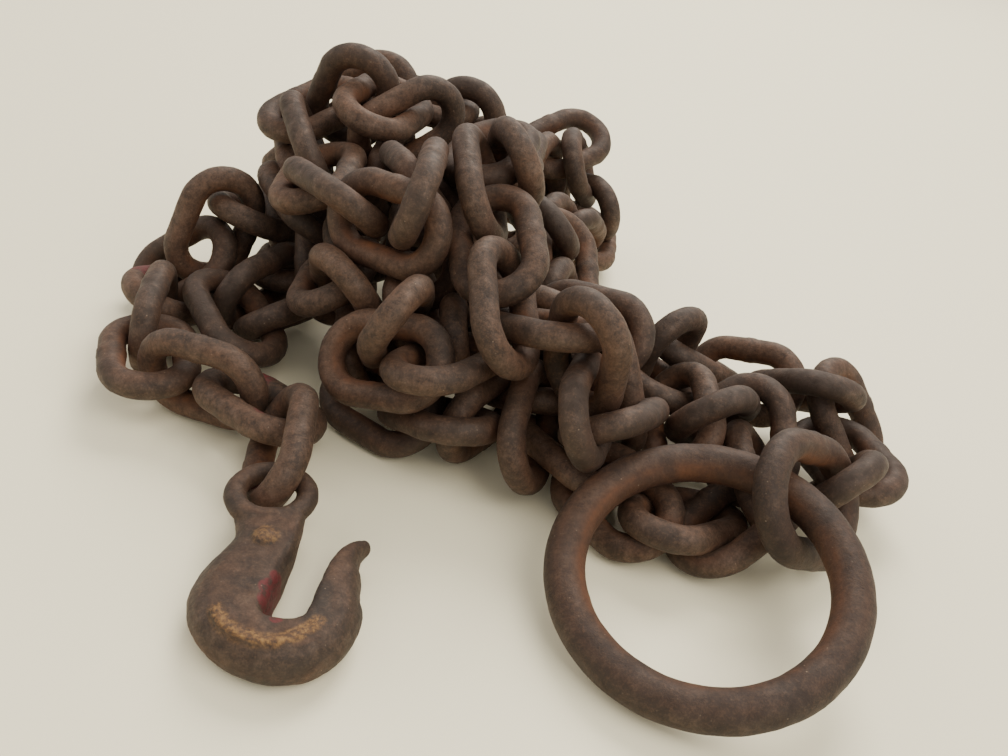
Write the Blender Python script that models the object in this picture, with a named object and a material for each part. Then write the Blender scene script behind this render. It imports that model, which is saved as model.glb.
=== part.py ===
import math

import bmesh
import bpy
import numpy as np
from mathutils import Matrix

# A loose heap of one long steel chain. A forged grab hook closes one end and a
# large round ring, held by a wider connecting link, closes the other.
# The heap lies on z = 0. Metres, x to the right, y to the back.

# Driving sizes
BAR = 0.010
LINK_INSIDE_LENGTH = 0.031
LINK_INSIDE_WIDTH = 0.015
COUPLER_BAR = 0.011
COUPLER_INSIDE_LENGTH = 0.038
COUPLER_INSIDE_WIDTH = 0.023
RING_BAR = 0.013
RING_OUTSIDE = 0.0955
HOOK_THICKNESS = 0.016
HOOK_THROAT = 0.0102
HOOK_EYE_HOLE = 0.0145
HOOK_EYE_RIM = 0.0080
HOOK_EYE_RISE = 0.0155
HOOK_BEVEL = 0.0012
HOOK_PAD = 0.0006

# The route was read at this pitch. Other pitches spread the heap in proportion.
READ_PITCH = 0.031

# Facets
BAR_SIDES = 8
BURIED_BAR_SIDES = 6
CROWN_STEPS = 4
RING_STEPS = 28
RING_SIDES = 10
EYE_STEPS = 16

# Seating
GAP = 0.00015
FUSED_OVERLAP = 0.0030
SEATING_STEPS = 800
UNTANGLE_SHARE = 0.12
FULL_BAR_SHARE = 0.45
SPRING_SHARE = 0.85
SPRING = 0.40
DEPTH_SPRING = 0.05
HIDDEN_SPRING = 0.15
LEAST_SPRING = 0.10
RING_EASE = 0.05
LINK_SPIN = 14.0
COUPLER_SPIN = 17.0
RING_SPIN = 32.0
START_BAR_SHARE = 0.15
SETTLE_SHARE = 0.80
SINK = 0.00003
PLACE_DIGITS = 5
TURN_DIGITS = 7
HIDDEN_ROLLS = (20, 110)
RELIST_STEPS = 10
NEAR_MARGIN = 8.0
REACH_MARGIN = 1.0
OPENING_SHARE = 0.99
COVER_SHARE = 0.8
MOST_TURN = 0.25
STEP_GAIN = 1.3
CROWD_POWER = 0.75
GROWING_CARRY = 0.5
GROWN_CARRY = 0.85
CROSSED_GAIN = 3.0
CROSSED_REACH = 4.0
PULL_GAIN = 0.6
MOST_PULL = 3.0

# Viewpoint of the reading, in millimetres: places are sure across the line of
# sight and less sure along it.
READ_FROM = (0.0, 0.0, 213.0)

# One row for each link, from the hook to the ring: middle x, y, z in
# millimetres, then heading, rise and roll in degrees. Rows with a middle only
# are links that the heap hides.
ROUTE = (
    # out from the hook and round the front left loop
    (-65, 242, 16, 100, 10, -45),
    (-81, 269, 12, 150, -15, 10),
    (-101, 275, 13, 150, -5, 85),
    (-124, 291, 8, 105, 0, 10),
    (-135, 305, 16, 110, 5, 80),
    (-136, 337, 12, 90, -10, 35),
    (-119, 319, 23, -15, 50, 75),
    (-123, 351, 26, -35, 70, -45),
    (-113, 376, 30, 60, -5, -15),
    (-100, 369, 32, -55, -10, -45),
    (-91, 363, 18, -75, -15, 0),
    (-95, 321, 30, -130, 10, 30),
    (-105, 308, 18, -55, 0, -25),
    (-87, 338, 8, 55, -10, 5),
    (-74, 345, 30),
    # up the left flank and over the back of the crest
    (-95, 354, 52, -70, -10, -40),
    (-105, 373, 56, -80, -5, -70),
    (-110, 400, 58),
    (-84, 417, 80, 60, 0, 35),
    (-52, 416, 80, -30, 15, 20),
    (-34, 388, 80, -100, 60, 20),
    (-9, 385, 68, -110, 5, 65),
    # down into the back of the heap and along the ground
    (-25, 410, 55),
    (-45, 425, 35),
    (-70, 425, 18),
    (-95, 415, 8),
    (-80, 440, 8),
    (-50, 445, 8),
    (-20, 450, 8),
    (0, 452, 26),
    # the strand on the back right corner, and forward along the right side
    (-1, 464, 46, -95, -5, -70),
    (6, 457, 58, 70, 0, 15),
    (17, 447, 48, 75, -40, 75),
    (27, 464, 25, -85, -20, -40),
    (24, 438, 21, -90, -10, -30),
    (20, 415, 30),
    (11, 392, 38, -95, -5, -70),
    (2, 357, 58, -85, 5, -55),
    (15, 361, 42, -75, -20, -30),
    (15, 346, 30, 65, -45, 80),
    # the hidden middle of the heap
    (5, 368, 10),
    (-22, 376, 8),
    (-47, 372, 22),
    (-35, 360, 46),
    (-20, 352, 68),
    # over the crest and down the front to the right
    (-10, 338, 86, 60, -30, 75),
    (-27, 347, 82, 80, 25, 20),
    (-22, 303, 91, -70, -15, -60),
    (-13, 315, 62, -80, -25, 10),
    (-1, 291, 58, -65, -15, -45),
    (13, 294, 38, -45, 5, 10),
    (28, 278, 36, 40, -65, -5),
    (31, 273, 19, -70, 0, -35),
    (47, 271, 14, -60, 30, 35),
    (38, 293, 22, 70, -60, 75),
    (21, 304, 44, -60, 10, -25),
    (0, 315, 38),
    # the front middle fold
    (-25, 324, 36, 85, -60, 75),
    (-17, 299, 34, 85, -55, 75),
    (-20, 282, 29, 45, -5, 5),
    (-36, 270, 32, -30, 35, 25),
    (-43, 302, 38, 80, -60, 70),
    (-35, 300, 42, -80, 5, -70),
    (-42, 326, 56),
    (-50, 351, 68, -80, -5, -80),
    # the loop on the upper left
    (-37, 321, 72, 80, 15, 90),
    (-51, 322, 62, -30, 10, 75),
    (-66, 316, 72, -50, 5, -25),
    (-76, 332, 70, -95, -5, 0),
    (-91, 357, 66, -60, -5, -55),
    (-93, 402, 72, 40, 0, -5),
    (-83, 382, 78, 120, -40, 25),
    (-67, 371, 90, 60, -20, 15),
    (-50, 379, 80, 40, -15, 0),
    (-63, 374, 65, -80, -5, -80),
    (-62, 350, 46),
    (-57, 323, 40),
    (-52, 300, 48, -75, 10, -60),
    (-63, 312, 23, -80, -5, -85),
    # along the ground at the front, then under the ring
    (-44, 285, 9, -25, 5, 5),
    (-11, 274, 11, -65, 15, 15),
    (-10, 280, 15, -80, 15, -65),
    (11, 284, 17, -60, 25, 10),
    (19, 274, 25, -80, 5, -50),
    (19, 277, 10, -45, 15, 5),
    (47, 251, 11, -45, 20, 15),
    (63, 250, 13, 40, -20, -30),
    (79, 254, 10, 40, -15, -5),
    (84, 262, 9),
    (80, 272, 12),
    # the loop on the right that comes back to the ring
    (75, 283, 17, -65, 20, -10),
    (67, 293, 20, -95, 0, 15),
    (54, 304, 26, -60, 10, -20),
    (56, 331, 22, 70, -60, -20),
    (69, 332, 23, 15, -20, -10),
    (96, 345, 14, 15, -5, 65),
    (107, 318, 23, -65, 15, -10),
    (123, 318, 14, 15, -5, 55),
    (127, 288, 18, -90, 0, 15),
    (121, 277, 15, -130, 10, -70),
)
COUPLER_PLACE = (101, 267, 18, 35, -5, 45)
RING_MIDDLE = (68.6, 218.9, 15.8)
RING_LEAN = (8.5, -9.3)
EYE_MIDDLE = (-61.8, 222.7)

# Runs of neighbours that are made as one fused solid, by number along the
# chain: name, first, last.
RUNS = (
    ("run_left_low", 9, 11),
    ("run_left_rise", 13, 18),
    ("run_back_core", 22, 31),
    ("run_back_right", 33, 37),
    ("run_middle_core", 39, 45),
    ("run_front_right", 53, 55),
    ("run_front_inner", 57, 58),
    ("run_front_upper", 62, 65),
    ("run_left_inner", 75, 79),
    ("run_front_low", 82, 85),
    ("run_under_ring", 86, 91),
)

# The hook seen from above, in millimetres from the middle of its eye: x and y of
# its edge on the throat side, x and y of its outer edge, then the shares of the
# thickness where it starts and ends.
HOOK_RAILS = (
    (14.0, -6.8, -9.3, -9.1, 0.72, 1.21),
    (14.1, -17.1, -5.3, -15.3, 0.40, 1.15),
    (13.5, -23.5, -7.8, -21.4, 0.12, 1.04),
    (13.0, -29.7, -10.4, -28.6, 0.00, 1.00),
    (12.6, -36.2, -11.3, -36.5, 0.00, 1.00),
    (12.3, -41.4, -10.0, -44.6, 0.00, 1.00),
    (12.3, -44.7, -6.3, -51.7, 0.00, 1.00),
    (13.5, -45.3, 1.0, -58.1, 0.00, 1.00),
    (15.7, -45.5, 11.1, -61.8, 0.00, 1.00),
    (17.5, -45.4, 20.3, -61.6, 0.00, 1.00),
    (18.9, -44.9, 28.2, -56.9, 0.00, 1.00),
    (20.1, -44.0, 33.7, -48.8, 0.00, 1.00),
    (20.5, -40.4, 35.5, -37.2, 0.00, 1.00),
    (21.0, -34.6, 33.0, -28.7, 0.00, 1.00),
    (21.6, -28.3, 30.7, -22.1, 0.03, 0.97),
    (23.0, -22.8, 30.0, -16.4, 0.10, 0.92),
    (25.4, -17.8, 30.6, -12.1, 0.20, 0.84),
    (27.9, -14.6, 30.7, -8.8, 0.28, 0.76),
)
HOOK_READ_THROAT = 8.0
HOOK_THROAT_MIDDLE = 16.5
HOOK_ROOT_HALF = 4.0

# The belly of the hook rounds off on the outside: shares of the width, then
# shares of the thickness that are lost there.
HOOK_BELLY = ((0.62, 0.0), (0.88, 0.20), (1.0, 0.50))
HOOK_BODY_FROM = 3
HOOK_BODY_REACH = 10.0

# Raised bare pads on the hook's upper face.
HOOK_BAND = (
    (-0.7, -48.2), (2.6, -52.3), (7.3, -54.7), (12.2, -55.5),
    (17.4, -55.0), (21.6, -52.6), (24.3, -49.3), (26.0, -46.6),
)
HOOK_BAND_WIDTH = 3.6
HOOK_OVAL = (4.1, -20.1, 3.6, 3.0, 1.06)
OVAL_STEPS = 12


def mm(metres):
    return metres * 1000.0


def unit(vectors):
    return vectors / np.linalg.norm(vectors, axis=-1, keepdims=True)


# Materials


def steel(name, colour, roughness, metallic):
    material = bpy.data.materials.new(name)
    material.use_nodes = True
    shader = material.node_tree.nodes["Principled BSDF"]
    shader.inputs["Base Color"].default_value = (*colour, 1.0)
    shader.inputs["Roughness"].default_value = roughness
    shader.inputs["Metallic"].default_value = metallic
    return material


# Centre lines of the round bars, as closed rows of corners


def link_line(inside_length, inside_width, bar):
    crown = (inside_width + bar) / 2
    reach = (inside_length + bar) / 2 - crown
    angles = np.linspace(-math.pi / 2, math.pi / 2, CROWN_STEPS + 1)
    crown_end = np.stack([reach + crown * np.cos(angles), crown * np.sin(angles), 0 * angles], 1)
    return np.concatenate([crown_end, -crown_end])


def circle_line(radius, steps):
    angles = np.linspace(0, 2 * math.pi, steps, endpoint=False)
    return np.stack([radius * np.cos(angles), radius * np.sin(angles), 0 * angles], 1)


def axes_from(along, roll):
    level = unit(np.cross([0.0, 0.0, 1.0], along))
    across = math.cos(roll) * level + math.sin(roll) * np.cross(along, level)
    return np.stack([along, across, np.cross(along, across)], 1)


def axes_from_angles(heading, rise, roll):
    heading, rise, roll = np.radians([heading, rise, roll])
    along = np.array([
        math.cos(rise) * math.cos(heading),
        math.cos(rise) * math.sin(heading),
        math.sin(rise),
    ])
    return axes_from(along, roll)


# The pieces as the seating sees them


def new_piece(name, middle, axes, line, radius, opening, ease=1.0, spring=1.0, spin=LINK_SPIN):
    return {
        "name": name,
        "middle": np.array(middle, float),
        "axes": axes,
        "line": line,
        "radius": radius,
        "opening": opening,
        "ease": ease,
        "spring": spring,
        "spin": spin,
    }


def chain_pieces():
    spread = LINK_INSIDE_LENGTH / READ_PITCH
    line = link_line(mm(LINK_INSIDE_LENGTH), mm(LINK_INSIDE_WIDTH), mm(BAR))
    crown = mm(LINK_INSIDE_WIDTH + BAR) / 2
    reach = mm(LINK_INSIDE_LENGTH + BAR) / 2 - crown
    middles = np.array([row[:3] for row in ROUTE]) * spread
    pieces = []
    for index, row in enumerate(ROUTE):
        if len(row) == 6:
            axes = axes_from_angles(*row[3:])
            spring = 1.0
        else:
            along = unit(middles[index + 1] - middles[index - 1])
            axes = axes_from(along, math.radians(HIDDEN_ROLLS[index % 2]))
            spring = HIDDEN_SPRING
        name = "link_%03d" % (index + 1)
        piece = new_piece(name, middles[index], axes, line, mm(BAR) / 2, (reach, crown), spring=spring)
        pieces.append(piece)
    return pieces


def coupler_piece():
    spread = LINK_INSIDE_LENGTH / READ_PITCH
    line = link_line(mm(COUPLER_INSIDE_LENGTH), mm(COUPLER_INSIDE_WIDTH), mm(COUPLER_BAR))
    crown = mm(COUPLER_INSIDE_WIDTH + COUPLER_BAR) / 2
    reach = mm(COUPLER_INSIDE_LENGTH + COUPLER_BAR) / 2 - crown
    axes = axes_from_angles(*COUPLER_PLACE[3:])
    middle = np.array(COUPLER_PLACE[:3]) * spread
    radius = mm(COUPLER_BAR) / 2
    return new_piece("connecting_link", middle, axes, line, radius, (reach, crown), spin=COUPLER_SPIN)


def ring_piece():
    spread = LINK_INSIDE_LENGTH / READ_PITCH
    crown = mm(RING_OUTSIDE - RING_BAR) / 2
    lean_x, lean_y = np.radians(RING_LEAN)
    facing = unit(np.array([math.sin(lean_y), -math.sin(lean_x), 1.0]))
    side = unit(np.cross([0.0, 1.0, 0.0], facing))
    axes = np.stack([side, np.cross(facing, side), facing], 1)
    middle = np.array(RING_MIDDLE) * spread
    line = circle_line(crown, RING_STEPS)
    radius = mm(RING_BAR) / 2
    return new_piece("end_ring", middle, axes, line, radius, (0.0, crown), ease=RING_EASE, spin=RING_SPIN)


def eye_piece():
    spread = LINK_INSIDE_LENGTH / READ_PITCH
    radius = mm(HOOK_EYE_HOLE + HOOK_EYE_RIM) / 2
    middle = (EYE_MIDDLE[0] * spread, EYE_MIDDLE[1] * spread, mm(HOOK_EYE_RISE))
    line = circle_line(radius, EYE_STEPS)
    return new_piece("eye", middle, np.eye(3), line, mm(HOOK_EYE_RIM) / 2, (0.0, radius), ease=0.0)


def hook_rails():
    spread = LINK_INSIDE_LENGTH / READ_PITCH
    eye = np.array(EYE_MIDDLE) * spread
    widen = (mm(HOOK_THROAT) - HOOK_READ_THROAT) / 2
    rails = []
    for inner_x, inner_y, outer_x, outer_y, low, high in HOOK_RAILS:
        side = min(max((inner_x - HOOK_THROAT_MIDDLE) / HOOK_ROOT_HALF, -1.0), 1.0)
        inner = eye + (inner_x + widen * side, inner_y)
        outer = eye + (outer_x + widen * max(side, 0.0), outer_y)
        rails.append((inner, outer, low, high))
    return rails


def hook_body_piece():
    thick = mm(HOOK_THICKNESS)
    line = []
    for inner, outer, low, high in hook_rails()[HOOK_BODY_FROM:]:
        line.append((*(inner + outer) / 2, thick * (low + high) / 2))
    return new_piece("hook_body", (0, 0, 0), np.eye(3), np.array(line), HOOK_BODY_REACH, None, ease=0.0)


# Seating: the bars start thin, wrongly threaded pairs pass through each other,
# then the bars grow to their full size and push each other apart.


def closest_points(start_a, end_a, start_b, end_b):
    run_a = end_a - start_a
    run_b = end_b - start_b
    between = start_a - start_b
    aa = (run_a * run_a).sum(1)
    bb = (run_b * run_b).sum(1)
    ab = (run_a * run_b).sum(1)
    fa = (run_a * between).sum(1)
    fb = (run_b * between).sum(1)
    square = aa * bb - ab * ab
    crossed = square > 1e-9
    share_a = np.where(crossed, (ab * fb - fa * bb) / np.where(crossed, square, 1.0), 0.5).clip(0, 1)
    share_b = ((ab * share_a + fb) / bb).clip(0, 1)
    share_a = ((ab * share_b - fa) / aa).clip(0, 1)
    return start_a + run_a * share_a[:, None], start_b + run_b * share_b[:, None]


def threading(heap, host, guest):
    # How often the guest's line goes through the host's opening, and how deep
    # its shorter side reaches past the host's plane.
    offset = heap["middle"][guest] - heap["middle"][host]
    corners = np.einsum("pij,pkj->pki", heap["axes"][guest], heap["lines"][guest]) + offset[:, None, :]
    local = np.einsum("pki,pij->pkj", corners, heap["axes"][host])
    following = np.roll(local, -1, 1)
    height = local[..., 2]
    crosses = (height > 0) != (following[..., 2] > 0)
    drop = np.where(crosses, height - following[..., 2], 1.0)
    share = np.where(crosses, height / drop, 0.0)
    x = local[..., 0] + share * (following[..., 0] - local[..., 0])
    y = local[..., 1] + share * (following[..., 1] - local[..., 1])
    reach = heap["reach"][host][:, None]
    crown = heap["crown"][host][:, None] * OPENING_SHARE
    inside = (x - x.clip(-reach, reach)) ** 2 + y ** 2 < crown ** 2
    count = (crosses & inside).sum(1)
    above = height.max(1)
    below = -height.min(1)
    dip = np.where(above < below, above, -below)
    return count % 2 == 1, np.where(count >= 2, dip, 0.0)


def make_heap(pieces, partners, fused):
    count = len(pieces)
    corners = 2 * (CROWN_STEPS + 1)
    heap = {
        "middle": np.array([piece["middle"] for piece in pieces]),
        "axes": np.array([piece["axes"] for piece in pieces]),
        "ease": np.array([piece["ease"] for piece in pieces]),
        "spring": np.array([piece["spring"] for piece in pieces]),
        "spin": np.array([piece["spin"] for piece in pieces]) ** 2,
        "reach": np.array([(piece["opening"] or (0.0, 0.0))[0] for piece in pieces]),
        "crown": np.array([(piece["opening"] or (0.0, 0.0))[1] for piece in pieces]),
        "hollow": np.array([piece["opening"] is not None for piece in pieces]),
        "guest": np.array([len(piece["line"]) == corners for piece in pieces]),
        "partner": np.zeros((count, count), bool),
        "fused": np.zeros((count, count), bool),
    }
    heap["lines"] = np.array([
        piece["line"] if len(piece["line"]) == corners else np.zeros((corners, 3)) for piece in pieces
    ])
    for first, second in partners:
        heap["partner"][first, second] = heap["partner"][second, first] = True
    for first, second in fused:
        heap["fused"][first, second] = heap["fused"][second, first] = True
    bodies, starts, ends, radii = [], [], [], []
    for index, piece in enumerate(pieces):
        line = piece["line"]
        closed = piece["opening"] is not None
        following = np.roll(line, -1, 0) if closed else line[1:]
        line = line if closed else line[:-1]
        bodies.append(np.full(len(line), index))
        starts.append(line)
        ends.append(following)
        radii.append(np.full(len(line), piece["radius"] + mm(GAP)))
    heap["body"] = np.concatenate(bodies)
    heap["start"] = np.concatenate(starts)
    heap["end"] = np.concatenate(ends)
    heap["radius"] = np.concatenate(radii)
    heap["half"] = np.linalg.norm(heap["end"] - heap["start"], axis=1) / 2
    return heap


def bars_in_place(heap):
    axes = heap["axes"][heap["body"]]
    middle = heap["middle"][heap["body"]]
    start = np.einsum("sij,sj->si", axes, heap["start"]) + middle
    end = np.einsum("sij,sj->si", axes, heap["end"]) + middle
    return start, end


def near_bars(heap, start, end, margin):
    middle = (start + end) / 2
    size = heap["half"] + heap["radius"]
    first, second = [], []
    for index in range(len(middle) - 1):
        rest = slice(index + 1, None)
        apart = np.abs(middle[rest] - middle[index]).max(1)
        close = np.nonzero(apart < size[rest] + size[index] + margin)[0] + index + 1
        first.append(np.full(len(close), index))
        second.append(close)
    first = np.concatenate(first)
    second = np.concatenate(second)
    body_a = heap["body"][first]
    body_b = heap["body"][second]
    moving = (heap["ease"][body_a] > 0) | (heap["ease"][body_b] > 0)
    kept = (body_a != body_b) & moving
    first, second = first[kept], second[kept]
    key = heap["body"][first] * len(heap["middle"]) + heap["body"][second]
    order = np.argsort(key, kind="stable")
    first, second, key = first[order], second[order], key[order]
    opens = np.concatenate([[True], key[1:] != key[:-1]])
    return first, second, np.cumsum(opens) - 1, heap["body"][first[opens]], heap["body"][second[opens]]


def add_push(sums, heap, body, amount, direction, lever, weight):
    shift, turn, count = sums
    part = (amount * heap["ease"][body])[:, None]
    np.add.at(shift, body, part * direction)
    np.add.at(turn, body, part * np.cross(lever, direction) / heap["spin"][body][:, None])
    np.add.at(count, body, weight)


def push_pairs(sums, heap, bodies, points, direction, amount, weight):
    levers = [points[side] - heap["middle"][bodies[side]] for side in (0, 1)]
    give = 1e-9
    for side in (0, 1):
        turned = (np.cross(levers[side], direction) ** 2).sum(1) / heap["spin"][bodies[side]]
        give = give + heap["ease"][bodies[side]] * (1 + turned)
    amount = amount * weight[0] / give
    add_push(sums, heap, bodies[0], amount, direction, levers[0], weight[1])
    add_push(sums, heap, bodies[1], -amount, direction, levers[1], weight[1])


def push_off_ground(sums, heap, start):
    low = start[:, 2] - heap["radius"]
    under = np.nonzero((low < 0) & (heap["ease"][heap["body"]] > 0))[0]
    body = heap["body"][under]
    share = 1.0 / np.bincount(body, minlength=len(heap["middle"]))[body]
    lever = start[under] - heap["middle"][body]
    up = np.broadcast_to([0.0, 0.0, 1.0], lever.shape)
    turned = (np.cross(lever, up) ** 2).sum(1) / heap["spin"][body]
    amount = -2 * low[under] / (1 + turned) * share / heap["ease"][body]
    add_push(sums, heap, body, amount, up, lever, share)


def withdraw_dips(sums, heap, host, guest, dip, thick):
    deep = np.nonzero(dip)[0]
    host, guest, dip = host[deep], guest[deep], dip[deep]
    away = -(dip + np.sign(dip) * thick)[:, None] * heap["axes"][host][:, :, 2] / 2
    np.add.at(sums[0], guest, away)
    np.add.at(sums[0], host, -away)
    np.add.at(sums[2], guest, 1)
    np.add.at(sums[2], host, 1)


def pull_to_reading(heap, read_middle, read_axes, shift, turn, strength):
    off = read_middle - heap["middle"]
    sight = unit(read_middle - np.array(READ_FROM))
    along = (off * sight).sum(1)[:, None] * sight
    pull = (strength * heap["spring"])[:, None]
    shift += pull * (off - (1 - DEPTH_SPRING) * along)
    axes = heap["axes"]
    twist = np.cross(axes[:, :, 0], read_axes[:, :, 0]) + np.cross(axes[:, :, 1], read_axes[:, :, 1])
    turn += pull * twist / 2


def move(heap, shift, turn):
    # Places are rounded, so that every computer lays the same heap.
    angle = np.linalg.norm(turn, axis=1)
    turn = turn * np.minimum(1.0, MOST_TURN / np.maximum(angle, 1e-9))[:, None]
    loose = (heap["ease"] > 0)[:, None]
    heap["middle"] = (heap["middle"] + shift * loose).round(PLACE_DIGITS)
    along = heap["axes"][:, :, 0]
    across = heap["axes"][:, :, 1]
    along = unit(along + np.cross(turn * loose, along)).round(TURN_DIGITS)
    across = across + np.cross(turn * loose, across)
    across = unit(across - (across * along).sum(1)[:, None] * along).round(TURN_DIGITS)
    heap["axes"] = np.stack([along, across, np.cross(along, across)], 2)


def seen_shares(heap):
    # How much of each piece shows from where the places were read: what shows
    # most is held closest to its reading.
    start, end = bars_in_place(heap)
    eye = np.array(READ_FROM)
    seen = np.zeros(len(heap["middle"]))
    for index in range(len(start)):
        others = heap["body"] != heap["body"][index]
        count = others.sum()
        sight = np.broadcast_to(eye, (count, 3))
        corner = np.broadcast_to(start[index], (count, 3))
        at_a, at_b = closest_points(sight, corner, start[others], end[others])
        covered = np.linalg.norm(at_a - at_b, axis=1) < heap["radius"][others] * COVER_SHARE
        seen[heap["body"][index]] += not covered.any()
    return seen / np.bincount(heap["body"])


def list_pairs(heap, start, end):
    first, second, pair, body_a, body_b = near_bars(heap, start, end, NEAR_MARGIN)
    partner = heap["partner"][body_a, body_b]
    hollow = heap["hollow"][body_a] & heap["hollow"][body_b]
    swap = ~heap["guest"][body_b]
    host = np.where(swap, body_b, body_a)
    guest = np.where(swap, body_a, body_b)
    known = np.nonzero(hollow & (heap["guest"][body_a] | heap["guest"][body_b]))[0]
    apart = known[heap["guest"][host[known]] & ~partner[known]]
    return {
        "first": first,
        "second": second,
        "pair": pair,
        "partner": partner,
        "overlap": np.where(heap["fused"][body_a, body_b], mm(FUSED_OVERLAP), 0.0),
        "host": host,
        "guest": guest,
        "known": known,
        "apart": apart,
        "where_apart": np.searchsorted(known, apart),
    }


def bars_that_meet(heap, pairs, start, end, wrong, untangling, growth):
    # Bars that touch are pushed apart, partners that came apart are pulled
    # together, and wrongly threaded pairs pass through each other.
    first, second, pair = pairs["first"], pairs["second"], pairs["pair"]
    partner = pairs["partner"]
    size = heap["half"] + heap["radius"]
    reach = size[first] + size[second] + REACH_MARGIN
    off = (start[first] + end[first] - start[second] - end[second]) / 2
    near = ((off ** 2).sum(1) < reach ** 2) | partner[pair] | untangling
    bar_a, bar_b, group = first[near], second[near], pair[near]
    at_a, at_b = closest_points(start[bar_a], end[bar_a], start[bar_b], end[bar_b])
    gap = at_a - at_b
    distance = np.linalg.norm(gap, axis=1)
    direction = gap / np.maximum(distance, 1e-6)[:, None]
    wanted = (heap["radius"][bar_a] + heap["radius"][bar_b] - pairs["overlap"][group]) * growth
    space = distance - wanted
    order = np.lexsort((distance, group))
    leads = np.concatenate([[True], group[order][1:] != group[order][:-1]])
    nearest = np.full(len(partner), -1)
    nearest[group[order][leads]] = order[leads]
    pushed = np.nonzero((space < 0) & ~wrong[group])[0]
    crossed = nearest[wrong & (nearest >= 0)]
    pulled = nearest[partner & ~wrong & (nearest >= 0)]
    pulled = pulled[space[pulled] > mm(GAP)]
    amount = np.concatenate([
        -space[pushed],
        -CROSSED_GAIN * (distance[crossed] + np.minimum(wanted[crossed], CROSSED_REACH)),
        -PULL_GAIN * np.minimum(space[pulled] - mm(GAP) * 2 / 3, MOST_PULL),
    ])
    chosen = np.concatenate([pushed, crossed, pulled])
    share = 1.0 / np.bincount(group[chosen], minlength=len(partner))[group[chosen]]
    bodies = (heap["body"][bar_a[chosen]], heap["body"][bar_b[chosen]])
    deepest = -space[pushed].min() if len(pushed) else 0.0
    return bodies, (at_a[chosen], at_b[chosen]), direction[chosen], amount, share, deepest


def seat(heap):
    total = len(heap["middle"])
    heap["spring"] = heap["spring"] * (LEAST_SPRING + (1 - LEAST_SPRING) * seen_shares(heap))
    read_middle = heap["middle"].copy()
    read_axes = heap["axes"].copy()
    last_shift = np.zeros((total, 3))
    last_turn = np.zeros((total, 3))
    for step in range(SEATING_STEPS):
        done = step / SEATING_STEPS
        growth = (done - UNTANGLE_SHARE) / (FULL_BAR_SHARE - UNTANGLE_SHARE)
        growth = START_BAR_SHARE + (1 - START_BAR_SHARE) * min(max(growth, 0.0), 1.0)
        start, end = bars_in_place(heap)
        if step % RELIST_STEPS == 0:
            pairs = list_pairs(heap, start, end)
        host, guest, known, apart = pairs["host"], pairs["guest"], pairs["known"], pairs["apart"]
        threaded, dips = threading(heap, host[known], guest[known])
        wrong = np.zeros(len(host), bool)
        wrong[known] = threaded != pairs["partner"][known]
        untangling = done < UNTANGLE_SHARE
        meeting = bars_that_meet(heap, pairs, start, end, wrong, untangling, growth)
        bodies, points, direction, amount, share, deepest = meeting
        sums = (np.zeros((total, 3)), np.zeros((total, 3)), np.zeros(total))
        push_pairs(sums, heap, bodies, points, direction, amount, (share, share))
        push_off_ground(sums, heap, start)
        thick = growth * mm(BAR) / 2
        withdraw_dips(sums, heap, host[apart], guest[apart], dips[pairs["where_apart"]], thick)
        _, back_dips = threading(heap, guest[apart], host[apart])
        withdraw_dips(sums, heap, guest[apart], host[apart], back_dips, thick)
        shift, turn, count = sums
        step_share = (STEP_GAIN / np.maximum(count, 1.0) ** CROWD_POWER)[:, None]
        carry = GROWING_CARRY if done < FULL_BAR_SHARE else GROWN_CARRY
        shift = shift * step_share + carry * last_shift
        turn = turn * step_share + carry * last_turn
        last_shift, last_turn = shift.copy(), turn.copy()
        strength = SPRING * max(0.0, 1 - done / SPRING_SHARE)
        pull_to_reading(heap, read_middle, read_axes, shift, turn, strength)
        if FULL_BAR_SHARE < done < SETTLE_SHARE:
            shift[:, 2] -= mm(SINK)
        move(heap, shift, turn)
    print("seated: wrong pairs %d, deepest overlap %.3f mm" % (wrong.sum(), deepest))
    return heap


# Solids


def mesh_object(name, vertices, faces, material):
    mesh = bpy.data.meshes.new(name)
    mesh.from_pydata([tuple(vertex) for vertex in vertices], [], faces)
    mesh.materials.append(material)
    mesh.validate()
    item = bpy.data.objects.new(name, mesh)
    bpy.context.scene.collection.objects.link(item)
    return item


def connected(work):
    waiting = set(work.verts)
    bodies = []
    while waiting:
        front = [waiting.pop()]
        body = []
        while front:
            vertex = front.pop()
            body.append(vertex)
            for edge in vertex.link_edges:
                other = edge.other_vert(vertex)
                if other in waiting:
                    waiting.remove(other)
                    front.append(other)
        bodies.append(body)
    return sorted(bodies, key=len)


def tidy_normals(item, sharp_angle):
    work = bmesh.new()
    work.from_mesh(item.data)
    bmesh.ops.remove_doubles(work, verts=work.verts, dist=0.00001)
    # A joint can leave a sliver of a few corners beside the solid.
    for sliver in connected(work)[:-1]:
        bmesh.ops.delete(work, geom=sliver, context="VERTS")
    bmesh.ops.recalc_face_normals(work, faces=work.faces)
    bmesh.ops.triangulate(work, faces=[face for face in work.faces if len(face.verts) > 4])
    work.to_mesh(item.data)
    work.free()
    item.data.shade_smooth()
    item.data.set_sharp_from_angle(angle=math.radians(sharp_angle))


def bar_loop(name, middle, axes, line, radius, sides, material):
    count = len(line)
    coming = unit(line - np.roll(line, 1, 0))
    going = unit(np.roll(line, -1, 0) - line)
    outward = unit(coming - going)
    vertices = []
    for corner, out in zip(line, outward):
        for side in range(sides):
            angle = 2 * math.pi * side / sides
            local = corner + radius * (math.cos(angle) * out + math.sin(angle) * np.array([0, 0, 1.0]))
            vertices.append((middle + axes @ local) / 1000.0)
    faces = []
    for step in range(count):
        for side in range(sides):
            a = step * sides + side
            b = step * sides + (side + 1) % sides
            c = ((step + 1) % count) * sides + (side + 1) % sides
            d = ((step + 1) % count) * sides + side
            faces.append((a, b, c, d))
    item = mesh_object(name, vertices, faces, material)
    tidy_normals(item, 60)
    return item


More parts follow.
